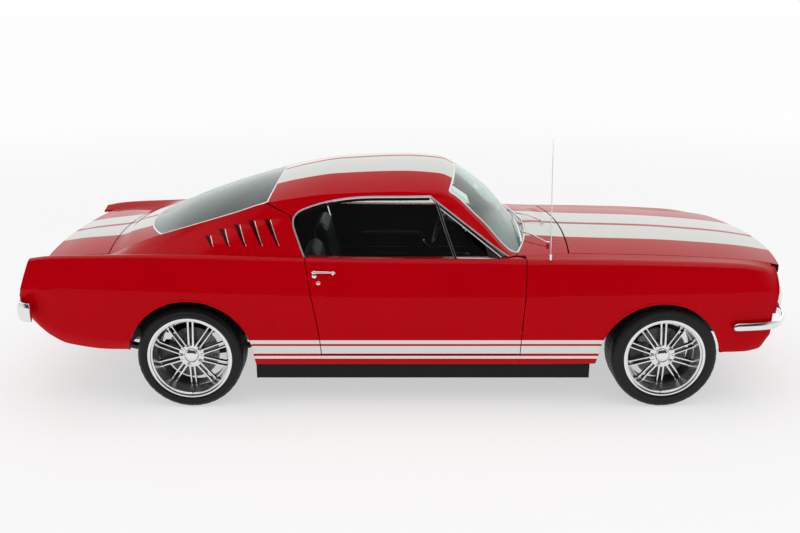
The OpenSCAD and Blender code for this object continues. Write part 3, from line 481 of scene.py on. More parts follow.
@dataclass
class Shape:
    """A mesh in the making, in millimetres."""

    verts: list[Vector] = field(default_factory=list)
    faces: list[tuple[int, ...]] = field(default_factory=list)
    marks: list[int] = field(default_factory=list)

    def face(self, ids: Sequence[int], mark: int = 0) -> None:
        """Adds one face with a finish number."""
        self.faces.append(tuple(ids))
        self.marks.append(mark)

    def grid(self, rows: Grid, mark: int = 0, loop_u: bool = False, loop_v: bool = False) -> None:
        """Adds a sheet of quads.

        Args:
            rows: Points, row by row.
            mark: Finish number.
            loop_u: Whether the last row joins the first.
            loop_v: Whether each row closes on itself.
        """
        b, nu, nv = len(self.verts), len(rows), len(rows[0])
        for row in rows:
            self.verts += [Vector(p) for p in row]
        for u in range(nu if loop_u else nu - 1):
            for v in range(nv if loop_v else nv - 1):
                w, x = (u + 1) % nu, (v + 1) % nv
                self.face((b + u * nv + v, b + u * nv + x, b + w * nv + x, b + w * nv + v), mark)

    def slab(self, o: Grid, i: Grid, mark: int = 0, inside: int | None = None,
             rim: int | None = None) -> None:
        """Adds a closed shell between an outer and an inner sheet.

        Args:
            o: Outer points.
            i: Inner points.
            mark: Finish of the outside.
            inside: Finish of the inside.
            rim: Finish of the edges.
        """
        inside = mark if inside is None else inside
        rim = mark if rim is None else rim
        b, nu, nv = len(self.verts), len(o), len(o[0])
        for g in (o, i):
            for row in g:
                self.verts += [Vector(p) for p in row]
        n = nu * nv
        for u in range(nu - 1):
            for v in range(nv - 1):
                q = (b + u * nv + v, b + u * nv + v + 1, b + (u + 1) * nv + v + 1, b + (u + 1) * nv + v)
                self.face(q, mark)
                self.face([k + n for k in reversed(q)], inside)
        edge = [(u, 0) for u in range(nu)] + [(nu - 1, v) for v in range(1, nv)]
        edge += [(u, nv - 1) for u in range(nu - 2, -1, -1)] + [(0, v) for v in range(nv - 2, 0, -1)]
        ids = [b + u * nv + v for u, v in edge]
        for k, a in enumerate(ids):
            c = ids[(k + 1) % len(ids)]
            self.face((a, c, c + n, a + n), rim)

    def lathe(self, profile: Outline, at: Sequence[float], axis: str = "y", n: int = 64,
              mark: int = 0) -> None:
        """Turns a profile of (radius, distance along the axis) about x, y or z through a point."""
        rows = []
        order = {"x": (2, 0, 1), "y": (0, 2, 1), "z": (0, 1, 2)}[axis]
        for a in turns(n):
            c, s = math.cos(a), math.sin(a)
            rows.append([Vector(at) + Vector([(r * c, r * s, h)[k] for k in order]) for r, h in profile])
        self.grid(rows, mark, loop_u=True)

    def sweep(self, path: Sequence[Vector], section: Outline, up=(0, 0, 1), mark: int = 0,
              loop: bool = False) -> None:
        """Sweeps a closed section along a path.

        Args:
            path: Points along the middle.
            section: Offsets to the side and up.
            up: One direction, or one for each point.
            mark: Finish number.
            loop: Whether the path closes on itself.
        """
        n, rows = len(path), []
        for k, p in enumerate(path):
            if loop:
                a, c = path[k - 1], path[(k + 1) % n]
            else:
                a, c = path[max(k - 1, 0)], path[min(k + 1, n - 1)]
            d = (c - a).normalized()
            u = Vector(up[k] if isinstance(up, list) else up)
            w = d.cross(u).normalized()
            u = w.cross(d)
            rows.append([p + w * s + u * h for s, h in section])
        b = len(self.verts)
        self.grid(rows, mark, loop_u=loop, loop_v=True)
        if not loop:
            m = len(section)
            self.face([b + k for k in range(m)][::-1], mark)
            self.face([b + (n - 1) * m + k for k in range(m)], mark)

    def tube(self, path: Sequence, r: float, sides: int = 10, mark: int = 0) -> None:
        """Round bar along a path."""
        ring = [(r * math.cos(a), r * math.sin(a)) for a in turns(sides)]
        self.sweep([Vector(p) for p in path], ring, (0.05, 0.02, 1.0), mark)

    def prism(self, outline: Sequence[Sequence[float]], push: Sequence[float], mark: int = 0) -> None:
        """Closed solid from a flat outline pushed along a direction."""
        b, n, d = len(self.verts), len(outline), Vector(push)
        self.verts += [Vector(p) for p in outline] + [Vector(p) + d for p in outline]
        self.face([b + k for k in range(n)][::-1], mark)
        self.face([b + n + k for k in range(n)], mark)
        for k in range(n):
            self.face((b + k, b + (k + 1) % n, b + n + (k + 1) % n, b + n + k), mark)

    def box(self, lo: Sequence[float], hi: Sequence[float], mark: int = 0) -> None:
        """Block between two corners."""
        (a, b, c), (d, e, f) = lo, hi
        self.prism([(a, b, c), (d, b, c), (d, e, c), (a, e, c)], (0, 0, f - c), mark)

    def mirror(self) -> "Shape":
        """The same shape on the left side."""
        return Shape([Vector((v.x, -v.y, v.z)) for v in self.verts], [f[::-1] for f in self.faces],
                     list(self.marks))

    def join(self, o: "Shape") -> "Shape":
        """Takes in another shape."""
        b = len(self.verts)
        self.verts += o.verts
        self.faces += [tuple(i + b for i in f) for f in o.faces]
        self.marks += o.marks
        return self

    def both(self) -> "Shape":
        """Takes in its own mirror image."""
        return self.join(self.mirror())

    def build(self, name: str, finishes: Sequence[Finish], body: str, slot: str, nodes: Sequence[str] = (),
              bevel: float = 0.0, angle: float = 36.0) -> None:
        """Makes the Blender piece.

        Args:
            name: Name of the piece.
            finishes: Finishes by number.
            body: CAD body that it rides on.
            slot: Material slot name; not used.
            nodes: CAD nodes that it stands for.
            bevel: Width of the rounded edges in millimetres.
            angle: Edges sharper than this stay sharp.
        """
        mesh = bpy.data.meshes.new(name)
        mesh.from_pydata([v * MM for v in self.verts], [], self.faces)
        mesh.polygons.foreach_set("material_index", self.marks)
        for f in finishes:
            mesh.materials.append(f.material())
        bm = bmesh.new()
        bm.from_mesh(mesh)
        bmesh.ops.remove_doubles(bm, verts=bm.verts, dist=0.000004)
        bmesh.ops.dissolve_degenerate(bm, edges=bm.edges, dist=0.000002)
        bmesh.ops.recalc_face_normals(bm, faces=bm.faces)
        for f in bm.faces:
            f.smooth = True
        bm.to_mesh(mesh)
        bm.free()
        mesh.set_sharp_from_angle(angle=math.radians(angle))
        obj = bpy.data.objects.new(name, mesh)
        bpy.context.collection.objects.link(obj)
        if bevel:
            soften(obj, bevel, angle + 6)
        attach(obj, body)
        if nodes:
            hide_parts(*nodes)
        LOG.info("%s on %s: %d faces", name, body, len(mesh.polygons))


LOW, SILL, CREASE, PEAK, BASE, EDGE = range(6)
TOP, BOW = 13, 14


@dataclass
class BodyLines:
    """The lofted body: one table of lines blended along the car, as in the solids."""

    xf: float = 1478.0
    xr: float = -1265.0
    half: float = 866.0
    roof: float = 1354.0
    axle_z: float = 306.0
    gap: float = 5.0
    skin: float = 12.0
    panel: float = 20.0
    belt_z: float = 888.0
    door_z: float = 338.0
    corner_z: float = 1112.0
    post_head: tuple[float, float] = (141.0, 1195.0)
    post_slope: float = 0.736
    bulge: tuple[float, ...] = (4, -6, 8, 0, 10)
    crown: tuple[float, ...] = (0, 0, 0, 5, 0)

    def __post_init__(self) -> None:
        """Works out landmarks and the slopes of the table."""
        xf, xr, h = self.xf, self.xr, self.roof
        self.door_f, self.door_r = xf - 812, xr + 679
        self.hood_r, self.hood_f = xf - 548, xf + 672
        self.wind_b, self.wind_t = xf - 863, xf - 1256
        self.back_t, self.back_b = xr + 452, xr - 172
        self.lid_f, self.lid_r = xr - 470, xr - 826
        self.farch = (xf - 33, self.axle_z - 24, 358.0)
        self.rarch = (xr + 11, self.axle_z - 10, 364.0)
        self.fender_f = xf + 619
        self.rows = [
            [xr - 980, 132, 612, 106, 655, 68, 722, 122, 856, 170, 864, 226, 844, 848, -50],
            [xr - 900, 121, 502, 91, 575, 54, 720, 111, 868, 161, 875, 226, 853, 856, -50],
            [xr - 811, 114, 420, 81, 505, 44, 718, 100, 882, 150, 889, 221, 864, 866, -50],
            [xr - 711, 106, 373, 66, 455, 34, 716, 90, 890, 142, 897, 218, 873, 884, -48],
            [xr - 470, 91, 345, 44, 420, 18, 711, 78, 897, 126, 904, 224, 884, 914, -46],
            [xr - 330, 85, 346, 36, 408, 11, 708, 74, 899, 118, 908, 252, 932, 942, -110],
            [xr - 172, 81, 345, 31, 400, 8, 705, 72, 898, 114, 911, 266, 986, 968, -170],
            [xr, 76, 300, 28, 350, 6, 701, 71, 895, 110, 911, 265, 1037, 1085, -80],
            [xr + 265, 71, 262, 28, 335, 3, 696, 71, 889, 109, 907, 264, 1116, 1200, -10],
            [xr + 452, 71, 258, 28, 333, 1, 693, 73, 884, 109, 901, 266, 1175, h - 90, 38],
            [xr + 591, 71, 258, 28, 333, 0, 691, 74, 880, 109, 896, 268, 1198, h - 54, 40],
            [xr + 810, 71, 258, 28, 333, 0, 690, 75, 875, 109, 889, 274, 1224, h - 17, 45],
            [xf - 1534, 71, 258, 28, 333, 0, 688, 76, 869, 109, 884, 281, 1236, h, 50],
            [xf - 1327, 71, 258, 28, 333, 0, 688, 76, 865, 109, 884, 294, 1228, h - 15, 57],
            [xf - 1256, 71, 258, 28, 333, 0, 688, 76, 864, 109, 884, 301, 1212, h - 50, 63],
            [xf - 1078, 71, 258, 28, 333, 1, 688, 76, 862, 109, 884, 240, 1066, 1157, 92],
            [xf - 863, 71, 258, 28, 333, 2, 689, 76, 860, 112, 882, 166, 888, 925, 123],
            [xf - 778, 71, 258, 28, 333, 3, 689, 77, 859, 125, 880, 172, 887, 926, 95],
            [xf - 548, 71, 260, 28, 333, 5, 690, 78, 857, 146, 876, 221, 885, 916, 36],
            [xf - 413, 71, 261, 28, 333, 6, 690, 78, 856, 146, 875, 223, 882, 912, 34],
            [xf, 72, 300, 40, 370, 18, 690, 81, 850, 151, 866, 224, 872, 900, 30],
            [xf + 302, 71, 333, 54, 400, 34, 690, 90, 838, 158, 854, 226, 856, 878, 45],
            [xf + 452, 81, 333, 66, 400, 48, 691, 98, 826, 162, 843, 226, 846, 863, 58],
            [xf + 559, 104, 345, 86, 410, 66, 690, 109, 800, 166, 825, 224, 836, 847, 70],
            [xf + 622, 121, 420, 106, 450, 81, 686, 124, 768, 171, 805, 221, 826, 835, 78],
            [xf + 690, 141, 470, 126, 500, 98, 680, 141, 735, 176, 780, 216, 812, 822, 86]]
        self.xs = [r[0] for r in self.rows]
        self.cache: dict[float, list[float]] = {}
        d = [[(b[c] - a[c]) / (b[0] - a[0]) for c in range(15)] for a, b in zip(self.rows, self.rows[1:])]
        mean = lambda a, b: 0.0 if a * b <= 0 else 2 * a * b / (a + b)
        self.slopes = [d[0]] + [[mean(a, b) for a, b in zip(p, q)] for p, q in zip(d, d[1:])] + [d[-1]]
        self.win_r = self.seam_r(self.corner_z)

    def at(self, x: float) -> list[float]:
        """Row of the table at x, blended without overshoot."""
        key = round(x, 3)
        if key not in self.cache:
            i = int(clamp(bisect_right(self.xs, x) - 1, 0, len(self.xs) - 2))
            h = self.xs[i + 1] - self.xs[i]
            t = (x - self.xs[i]) / h
            w = (2 * t ** 3 - 3 * t * t + 1, (t ** 3 - 2 * t * t + t) * h, 3 * t * t - 2 * t ** 3,
                 (t ** 3 - t * t) * h)
            cols = (self.rows[i], self.slopes[i], self.rows[i + 1], self.slopes[i + 1])
            self.cache[key] = [sum(k * c[j] for k, c in zip(w, cols)) for j in range(15)]
        return self.cache[key]

    def z(self, x: float, line: int) -> float:
        """Height of a body line at x."""
        return self.at(x)[2 + 2 * line]

    def y(self, x: float, line: int) -> float:
        """Distance of a body line from the middle at x."""
        return self.half - self.at(x)[1 + 2 * line]

    def sec(self, x: float, s: float) -> tuple[float, float]:
        """Distance from the middle and height on the section at x, s from 0 at the lower edge to 5."""
        r = self.at(x)
        k = int(clamp(math.floor(s), 0, 4))
        t = s - k
        b = 4 * t * (1 - t)
        az, bz = r[2 + 2 * k], r[4 + 2 * k]
        steep = clamp((bz - az) / 150, 0, 1) if k == 4 else 1.0
        y = lerp(self.half - r[1 + 2 * k], self.half - r[3 + 2 * k], t) + self.bulge[k] * b * steep
        return y, lerp(az, bz, t) + self.crown[k] * b

    def side(self, x: float, s: float, t: float = 0.0) -> Vector:
        """Point of the right side, t under the skin."""
        y, z = self.sec(x, s)
        n = self.normal(x, s)
        return Vector((x, -y - t * n.y, z - t * n.z))

    def normal(self, x: float, s: float) -> Vector:
        """Outward direction of the right side's section."""
        if s > 4.99:
            return Vector((0, 0, 1))
        a, b = self.sec(x, max(s - 0.03, 0)), self.sec(x, min(s + 0.03, 5))
        return Vector((0, -(b[1] - a[1]), -(b[0] - a[0]))).normalized()

    def s_low(self, x: float, z: float) -> float:
        """Section number at a height below the crease."""
        r = self.at(x)
        return max(0, (z - r[2]) / (r[4] - r[2])) if z < r[4] else 1 + (z - r[4]) / (r[6] - r[4])

    def s_high(self, x: float, z: float) -> float:
        """Section number at a height on the cabin side."""
        r = self.at(x)
        return 4 + clamp((z - r[10]) / (r[12] - r[10]), 0, 1)

    def top(self, x: float, q: float, inset: float = 0.0, t: float = 0.0) -> Vector:
        """Point of the upper surface, q from -1 at the right edge to 1 at the left."""
        r = self.at(x)
        ye = self.half - r[11]
        y = q * (ye - inset)
        c = 1 - (y / ye) ** 2
        return Vector((x + r[BOW] * c, y, lerp(r[12], r[TOP], c) - t))

    def seam_f(self, z: float) -> float:
        """Front seam of the door."""
        return self.door_f - 28 * clamp((self.belt_z - z) / (self.belt_z - self.door_z), 0, 1.2)

    def seam_r(self, z: float) -> float:
        """Rear seam of the door and window."""
        if z > self.belt_z:
            return self.door_r - 0.40 * (z - self.belt_z)
        return self.door_r + 86 * (1 - clamp((z - self.door_z) / (self.belt_z - self.door_z), 0, 1) ** 1.25)

    def win_z(self, x: float) -> float:
        """Upper edge of the side window."""
        if x < self.win_r:
            u = clamp((x - self.back_t) / (self.win_r - self.back_t), 0, 1)
            return lerp(self.z(self.back_t, EDGE), self.corner_z, u)
        f = self.xf - 1620
        u = clamp((f - x) / (f - self.win_r), 0, 1)
        return min(lerp(1209, self.corner_z, u ** 2.6), self.z(x, EDGE) - 18)

    def post_x(self, z: float) -> float:
        """Window edge of the windshield post at a height."""
        return self.post_head[0] + (self.post_head[1] - z) / self.post_slope

    def post_edge(self, x: float) -> Vector:
        """Window edge of the right windshield post beside the upper edge at x: straight in side view."""
        u = (x - self.wind_t) / (self.wind_b - self.wind_t)
        z = self.z(x, EDGE) - 14 * max(0, 1 - (x - self.wind_t) / 40)
        xa = min(x - 30, self.post_x(z))
        return self.side(xa, self.s_high(xa, z)).lerp(self.side(x, 5), 0.3 * u ** 4)

    def tail_end(self, z: float) -> float:
        """Rear end of the quarter at a height."""
        return self.xr - 899 - 0.27 * clamp(868 - z, 0, 230)

    def low_rows(self, s0: float, n: int = 14) -> list[float]:
        """Section numbers from the lower edge to the crease."""
        return span(s0, 2, n)

    def top_grid(self, x0: float, x1: float, nx: int, inset: float, t: float | Callable[[float], float],
                 nq: int = 48) -> Grid:
        """Sheet of the upper surface from x0 to x1, t deep."""
        deep = t if callable(t) else lambda u: t
        row = lambda u: [self.top(lerp(x0, x1, u), 2 * j / nq - 1, inset, deep(u)) for j in range(nq + 1)]
        return [row(k / nx) for k in range(nx + 1)]

    def top_slab(self, x0: float, x1: float, nx: int, inset: float, t: float | Callable[[float], float],
                 *marks: int, nq: int = 48) -> Shape:
        """Closed panel of the upper surface, t thick, with its finishes."""
        sh = Shape()
        sh.slab(self.top_grid(x0, x1, nx, inset, 0, nq), self.top_grid(x0, x1, nx, inset, t, nq), *marks)
        return sh


L = BodyLines()
BEAD = [(-4, -1), (-4, 2), (-2, 3.5), (2, 3.5), (4, 2), (4, -1)]
UPPER = [2.1, 2.2, 2.34, 2.5, 2.67, 2.84, 2.93, 3.0, 3.08, 3.2, 3.35, 3.5, 3.7, 3.85, 4.0]


def arch(a: tuple[float, float, float], n: int) -> list[tuple[float, float]]:
    """Points (x, z) over a wheel opening from rear to front."""
    x, z, r = a
    return [(x - r * math.cos(math.pi * k / n), z + r * math.sin(math.pi * k / n)) for k in range(n + 1)]


@dataclass
class SidePanels:
    """Fenders, quarters and rockers with their rolled wheel lips and louvers."""

    louver_pitch: float = 94.0
    louver_foot: float = 945.0
    louver_tops: tuple[float, ...] = (1001, 1037, 1062, 1086, 1094)
    lip_w: float = 15.0
    scoop_foot: tuple[float, float] = (-741.0, 463.0)
    scoop_head: tuple[float, float] = (-828.0, 664.0)
    scoop_depth: float = 9.0

    def fender(self, t: float) -> Grid:
        """Sheet of the right fender, t under the skin."""
        ss = lambda x, z0: L.low_rows(L.s_low(x, z0)) + UPPER + [4.25, 4.5, 4.75, 5]
        x0, x1 = L.farch[0] - L.farch[2] - 2, L.farch[0] + L.farch[2] + 2
        cols = []
        for u in span(0, 1, 14):
            xb = lerp(L.door_f, x0, u)
            cols.append([L.side(lerp(L.seam_f(L.sec(xb, s)[1]) + L.gap, x0, u), s, t) for s in ss(xb, 0)])
        cols += [[L.side(x, s, t) for s in ss(x, z)] for x, z in arch(L.farch, 44)]
        cols += [[L.side(x, s, t) for s in ss(x, 0)] for x in span(x1, L.fender_f, 20)]
        return cols

    def quarter(self, t: float) -> Grid:
        """Sheet of the right quarter with its sail panel, t under the skin."""
        ss = lambda x, z0, s1: L.low_rows(L.s_low(x, z0)) + UPPER + span(4, s1, 12)[1:]
        x0, x1 = L.rarch[0] - L.rarch[2] - 2, L.rarch[0] + L.rarch[2] + 2
        cols = []
        for u in span(0, 1, 22):
            xb = lerp(L.xr - 900, x0, u)
            cols.append([L.side(lerp(L.tail_end(L.sec(xb, s)[1]), x0, u), s, t) for s in ss(xb, 0, 5)])
        cols += [[L.side(x, s, t) for s in ss(x, z, 5)] for x, z in arch(L.rarch, 44)]
        for u in span(0, 1, 40):
            xt = lerp(x1, L.win_r - L.gap, u)
            s1 = 5 if xt < L.back_t else L.s_high(xt, L.win_z(xt) - 0.5)
            xb = lerp(x1, L.door_r, u)
            row = []
            for s in ss(xb, 0, s1):
                z = L.sec(xb, s)[1]
                x = lerp(x1, L.seam_r(z) - L.gap, u)
                row.append(L.side(x, s, t + self.scoop(x, z)))
            cols.append(row)
        return cols

    def scoop(self, x: float, z: float) -> float:
        """Depth of the crease that leans down and forward ahead of the rear wheel."""
        (x0, z0), (x1, z1) = self.scoop_foot, self.scoop_head
        d = x - lerp(x0, x1, (z - z0) / (z1 - z0))
        ends = clamp((z - 440) / 50, 0, 1) * clamp((650 - z) / 50, 0, 1)
        return self.scoop_depth * ends * (clamp(1 + d / 34, 0, 1) if d < 0 else clamp(1 - d / 150, 0, 1) ** 2)

    def lip(self, a: tuple[float, float, float], mark: int) -> Shape:
        """Rolled edge round a wheel opening."""
        sh = Shape()
        w = self.lip_w
        prof = [(-1.5, 9), (-1.5, 1), (0.5, -2.2), (4, -3.2), (9, -2.6), (w, -0.4), (w, 3), (4, 4), (2, 9)]
        rows = []
        for k in range(57):
            ang = math.pi * (0.012 + 0.976 * k / 56)
            row = []
            for dr, t in prof:
                x, z = a[0] - (a[2] + dr) * math.cos(ang), a[1] + (a[2] + dr) * math.sin(ang)
                row.append(L.side(x, L.s_low(x, z), t))
            rows.append(row)
        sh.grid(rows, mark, loop_v=True)
        return sh

    def gills(self) -> Shape:
        """Louvers behind the side window: each rises to a lip with a pinkish bead as a painted highlight, and
        dark strips behind it as painted shade in the slot.
        """
        sh = Shape()
        rise = lambda v: lerp(9.0, 0.8, clamp(v, 0, 1) ** 0.8)
        for k, head in enumerate(self.louver_tops):
            foot = L.xr + 155 + self.louver_pitch * k
            def at(u: float, v: float, t: float) -> Vector:
                z = lerp(self.louver_foot, head, u)
                x = foot + 84 * v - 0.39 * (z - self.louver_foot)
                return L.side(x, L.s_high(x, z), t)
            ends = lambda u: min(1.0, 5 * min(u + 0.02, 1.02 - u))
            cols = (0, 0.04, 0.12, 0.25, 0.4, 0.6, 0.8, 1)
            out = [[at(u, v, -rise(v) * ends(u)) for v in cols] for u in span(0, 1, 12)]
            back = [[at(u, v, (4 - rise(v)) * ends(u) + 1) for v in cols] for u in span(0, 1, 12)]
            # The underside of each slat is black trim: painted shade under it.
            sh.slab(out, back, 0, 2, 0)
            over = lambda v: 0.7 + (rise(1.12 + v) if k else 0.0)
            wide = lambda u: lerp(0.3, 1.0, u)
            # Three strips behind each lip, darker towards it: painted shade where the slot lies in shadow.
            for mark, a, b in ((3, -0.46, -0.30), (4, -0.30, -0.16), (2, -0.16, 0.03)):
                strip = []
                for u in span(0.04, 0.97, 8):
                    places = [lerp(a, b, c) * wide(u) for c in (0, 0.5, 1)]
                    strip.append([at(u, v, -over(v)) for v in places])
                sh.grid(strip, mark)
            # Pinkish metal bead along each lip: a painted highlight.
            sh.tube([at(u, 0.0, -rise(0) * ends(u) - 0.6) for u in span(0.05, 0.95, 12)], 2.7, 8, 5)
        return sh

    def rocker(self) -> Shape:
        """Painted strip under the right door."""
        def cols(t: float) -> Grid:
            out = []
            for u in span(0, 1, 24):
                xb = lerp(L.door_r, L.door_f, u)
                row = []
                for s in (0, 0.2, 0.4, 0.6, 0.8, 0.98):
                    z = L.sec(xb, s)[1]
                    row.append(L.side(lerp(L.seam_r(z) - L.gap + 0.4, L.seam_f(z) + L.gap - 0.4, u), s, t))
                out.append(row)
            return out
        sh = Shape()
        sh.slab(cols(0), cols(L.skin), 0, 1)
        return sh

    def build(self) -> None:
        """Makes both sides."""
        # On the louvers, marks 2 to 4 are painted shade in the slots, and mark 5 is a painted highlight on
        # the lips.
        fins = [RED_SIDE, SEALER, TRIM_AND_PAINTED_SHADE, SHADOW, PAINTED_DEEP_SHADE, PAINTED_HIGHLIGHT]
        fend = Shape()
        fend.slab(self.fender(0), self.fender(L.skin), 0, 1)
        fend.join(self.lip(L.farch, 0))
        quar = Shape()
        quar.slab(self.quarter(0), self.quarter(L.skin), 0, 1)
        quar.join(self.lip(L.rarch, 0)).join(self.gills())
        for name, sh in (("fender", fend), ("quarter", quar)):
            sh.build(f"{name}_right_skin", fins, "body", "red_paint", [f"{name}_right"], bevel=2.0, angle=22)
            sh.mirror().build(f"{name}_left_skin", fins, "body", "red_paint", [f"{name}_left"], bevel=2.0,
                              angle=22)
        self.rocker().both().build("rocker_skins", fins, "body", "red_paint", ["rockers"], bevel=1.5)


@dataclass
class TopPanels:
    """Hood, cowl, roof, deck and trunk lid on the upper surface, and the windshield posts."""

    roof_t: float = 30.0
    lid_gap: float = 5.0
    cowl_gap: float = 8.0
    slot_pitch: float = 52.0

    def hood_lip(self, u: float) -> float:
        """Depth of the hood, rolled down at its nose."""
        return L.panel + 26 * clamp((u - 0.86) / 0.14, 0, 1) ** 2

    def roof_col(self, x: float, t: float) -> list[Vector]:
        """One hoop of the roof from rail to rail."""
        rail = []
        for u in span(0, 1, 5):
            y, z = L.sec(x, lerp(L.s_high(x, L.win_z(x)), 5, u))
            rail.append(Vector((x, -y + t, z - 0.5 * t * u)))
        mid = []
        for q in span(-0.95, 0.95, 40):
            p = L.top(x, q)
            mid.append(Vector((p.x, p.y - 0.5 * t * q, p.z - t)))
        return rail + mid + [Vector((p.x, -p.y, p.z)) for p in reversed(rail)]

    def post(self) -> Shape:
        """Right windshield post along the upper edge line."""
        rows = []
        for x in span(L.wind_t + 0.5, L.wind_b - 2.7, 30):
            a, b = L.post_edge(x), L.side(x, 5)
            c = L.top(x, -1, 34)
            rows.append([a, a.lerp(b, 0.3), a.lerp(b, 0.6), a.lerp(b, 0.85), b, b.lerp(c, 0.2),
                         b.lerp(c, 0.6), c])
        head = [L.side(lerp(126, L.wind_t, f), 5, 2) for f in (0.0, 0.3, 0.6, 0.85, 1.0)]
        rows.insert(0, head + rows[0][5:])
        sh = Shape()
        sh.slab(rows, [[p + Vector((6, 22, -14)) for p in r] for r in rows], 0, 1)
        return sh

    def ribs(self, x0: float, x1: float, depth: float) -> Shape:
        """Pressed stiffening frame under a lid."""
        sh = Shape()
        for q in (-0.72, -0.25, 0.25, 0.72):
            path = [L.top(x, q, 30, depth + 4) for x in span(x0, x1, 12)]
            sh.sweep(path, [(-34, 6), (-24, -8), (24, -8), (34, 6)], mark=1)
        for x in span(x0, x1, 2):
            path = [L.top(x, q, 30, depth + 4) for q in span(-0.93, 0.93, 14)]
            sh.sweep(path, [(-30, 6), (-22, -8), (22, -8), (30, 6)], mark=1)
        return sh

    def build(self) -> None:
        """Makes the panels."""
        # Mark 3 is near-black red on the edges of the hood and trunk lid: painted shade in their gaps.
        fins = [RED_TOP, RED, LINING, PAINTED_DEEP_SHADE]
        hood = L.top_slab(L.hood_r, L.hood_f, 60, L.gap, self.hood_lip, 0, 1, 3)
        hood.join(self.ribs(L.hood_r + 60, L.hood_f - 220, L.panel))
        hood.build("hood_skin", fins, "hood", "red_paint", ["hood"], bevel=2.5)
        deep = lambda u: L.panel + 6 * clamp(1 - 2 * u, 0, 1) ** 2
        x0, x1 = L.lid_r, L.lid_f - self.lid_gap
        lid = L.top_slab(x0, x1, 24, L.gap, deep, 0, 1, 3)
        drop = lambda d, q: [L.top(x0, q, L.gap, t) - Vector((d, 0, 0)) for t in (1.5, 8, 16, 25)]
        edge = lambda d: [drop(d, q) for q in span(-0.995, 0.995, 40)]
        lid.slab(edge(0.8), edge(0.1), 1)
        lid.join(self.ribs(x0 + 70, x1 - 50, L.panel))
        lid.build("trunk_lid_skin", fins, "trunk_lid", "red_paint", ["trunk_lid"], bevel=2.5)
        for name, a, b, inset, t in (("deck_panel", L.lid_f, L.back_b - 1, 1.9, L.panel),
                                     ("cowl", L.wind_b + 4, L.hood_r - self.cowl_gap, 1.8, 12)):
            sh = L.top_slab(a, b, 20, inset, t, 0, 1)
            if name == "cowl":
                for k in (n for n in range(-9, 10) if abs(n) > 1):
                    q = self.slot_pitch * k / L.y(L.hood_r - 60, EDGE)
                    path = [L.top(x, q, 0, 0.2) for x in span(L.hood_r - 118, L.hood_r - 52, 6)]
                    sh.sweep(path, [(-7, -1), (-5, 1.2), (5, 1.2), (7, -1)], mark=0)
            sh.build(f"{name}_skin", fins, "body", "red_paint", [name], bevel=2.0)
        roof = Shape()
        grid = lambda t: [self.roof_col(x, t) for x in span(L.back_t, L.wind_t, 44)]
        roof.slab(grid(0), grid(self.roof_t), 0, 2, 1)
        roof.build("roof_skin", fins, "body", "red_paint", ["roof"], bevel=2.0)
        self.post().both().build("windshield_posts", [RED, LINING], "body", "red_paint", ["pillars"],
                                 bevel=2.0)


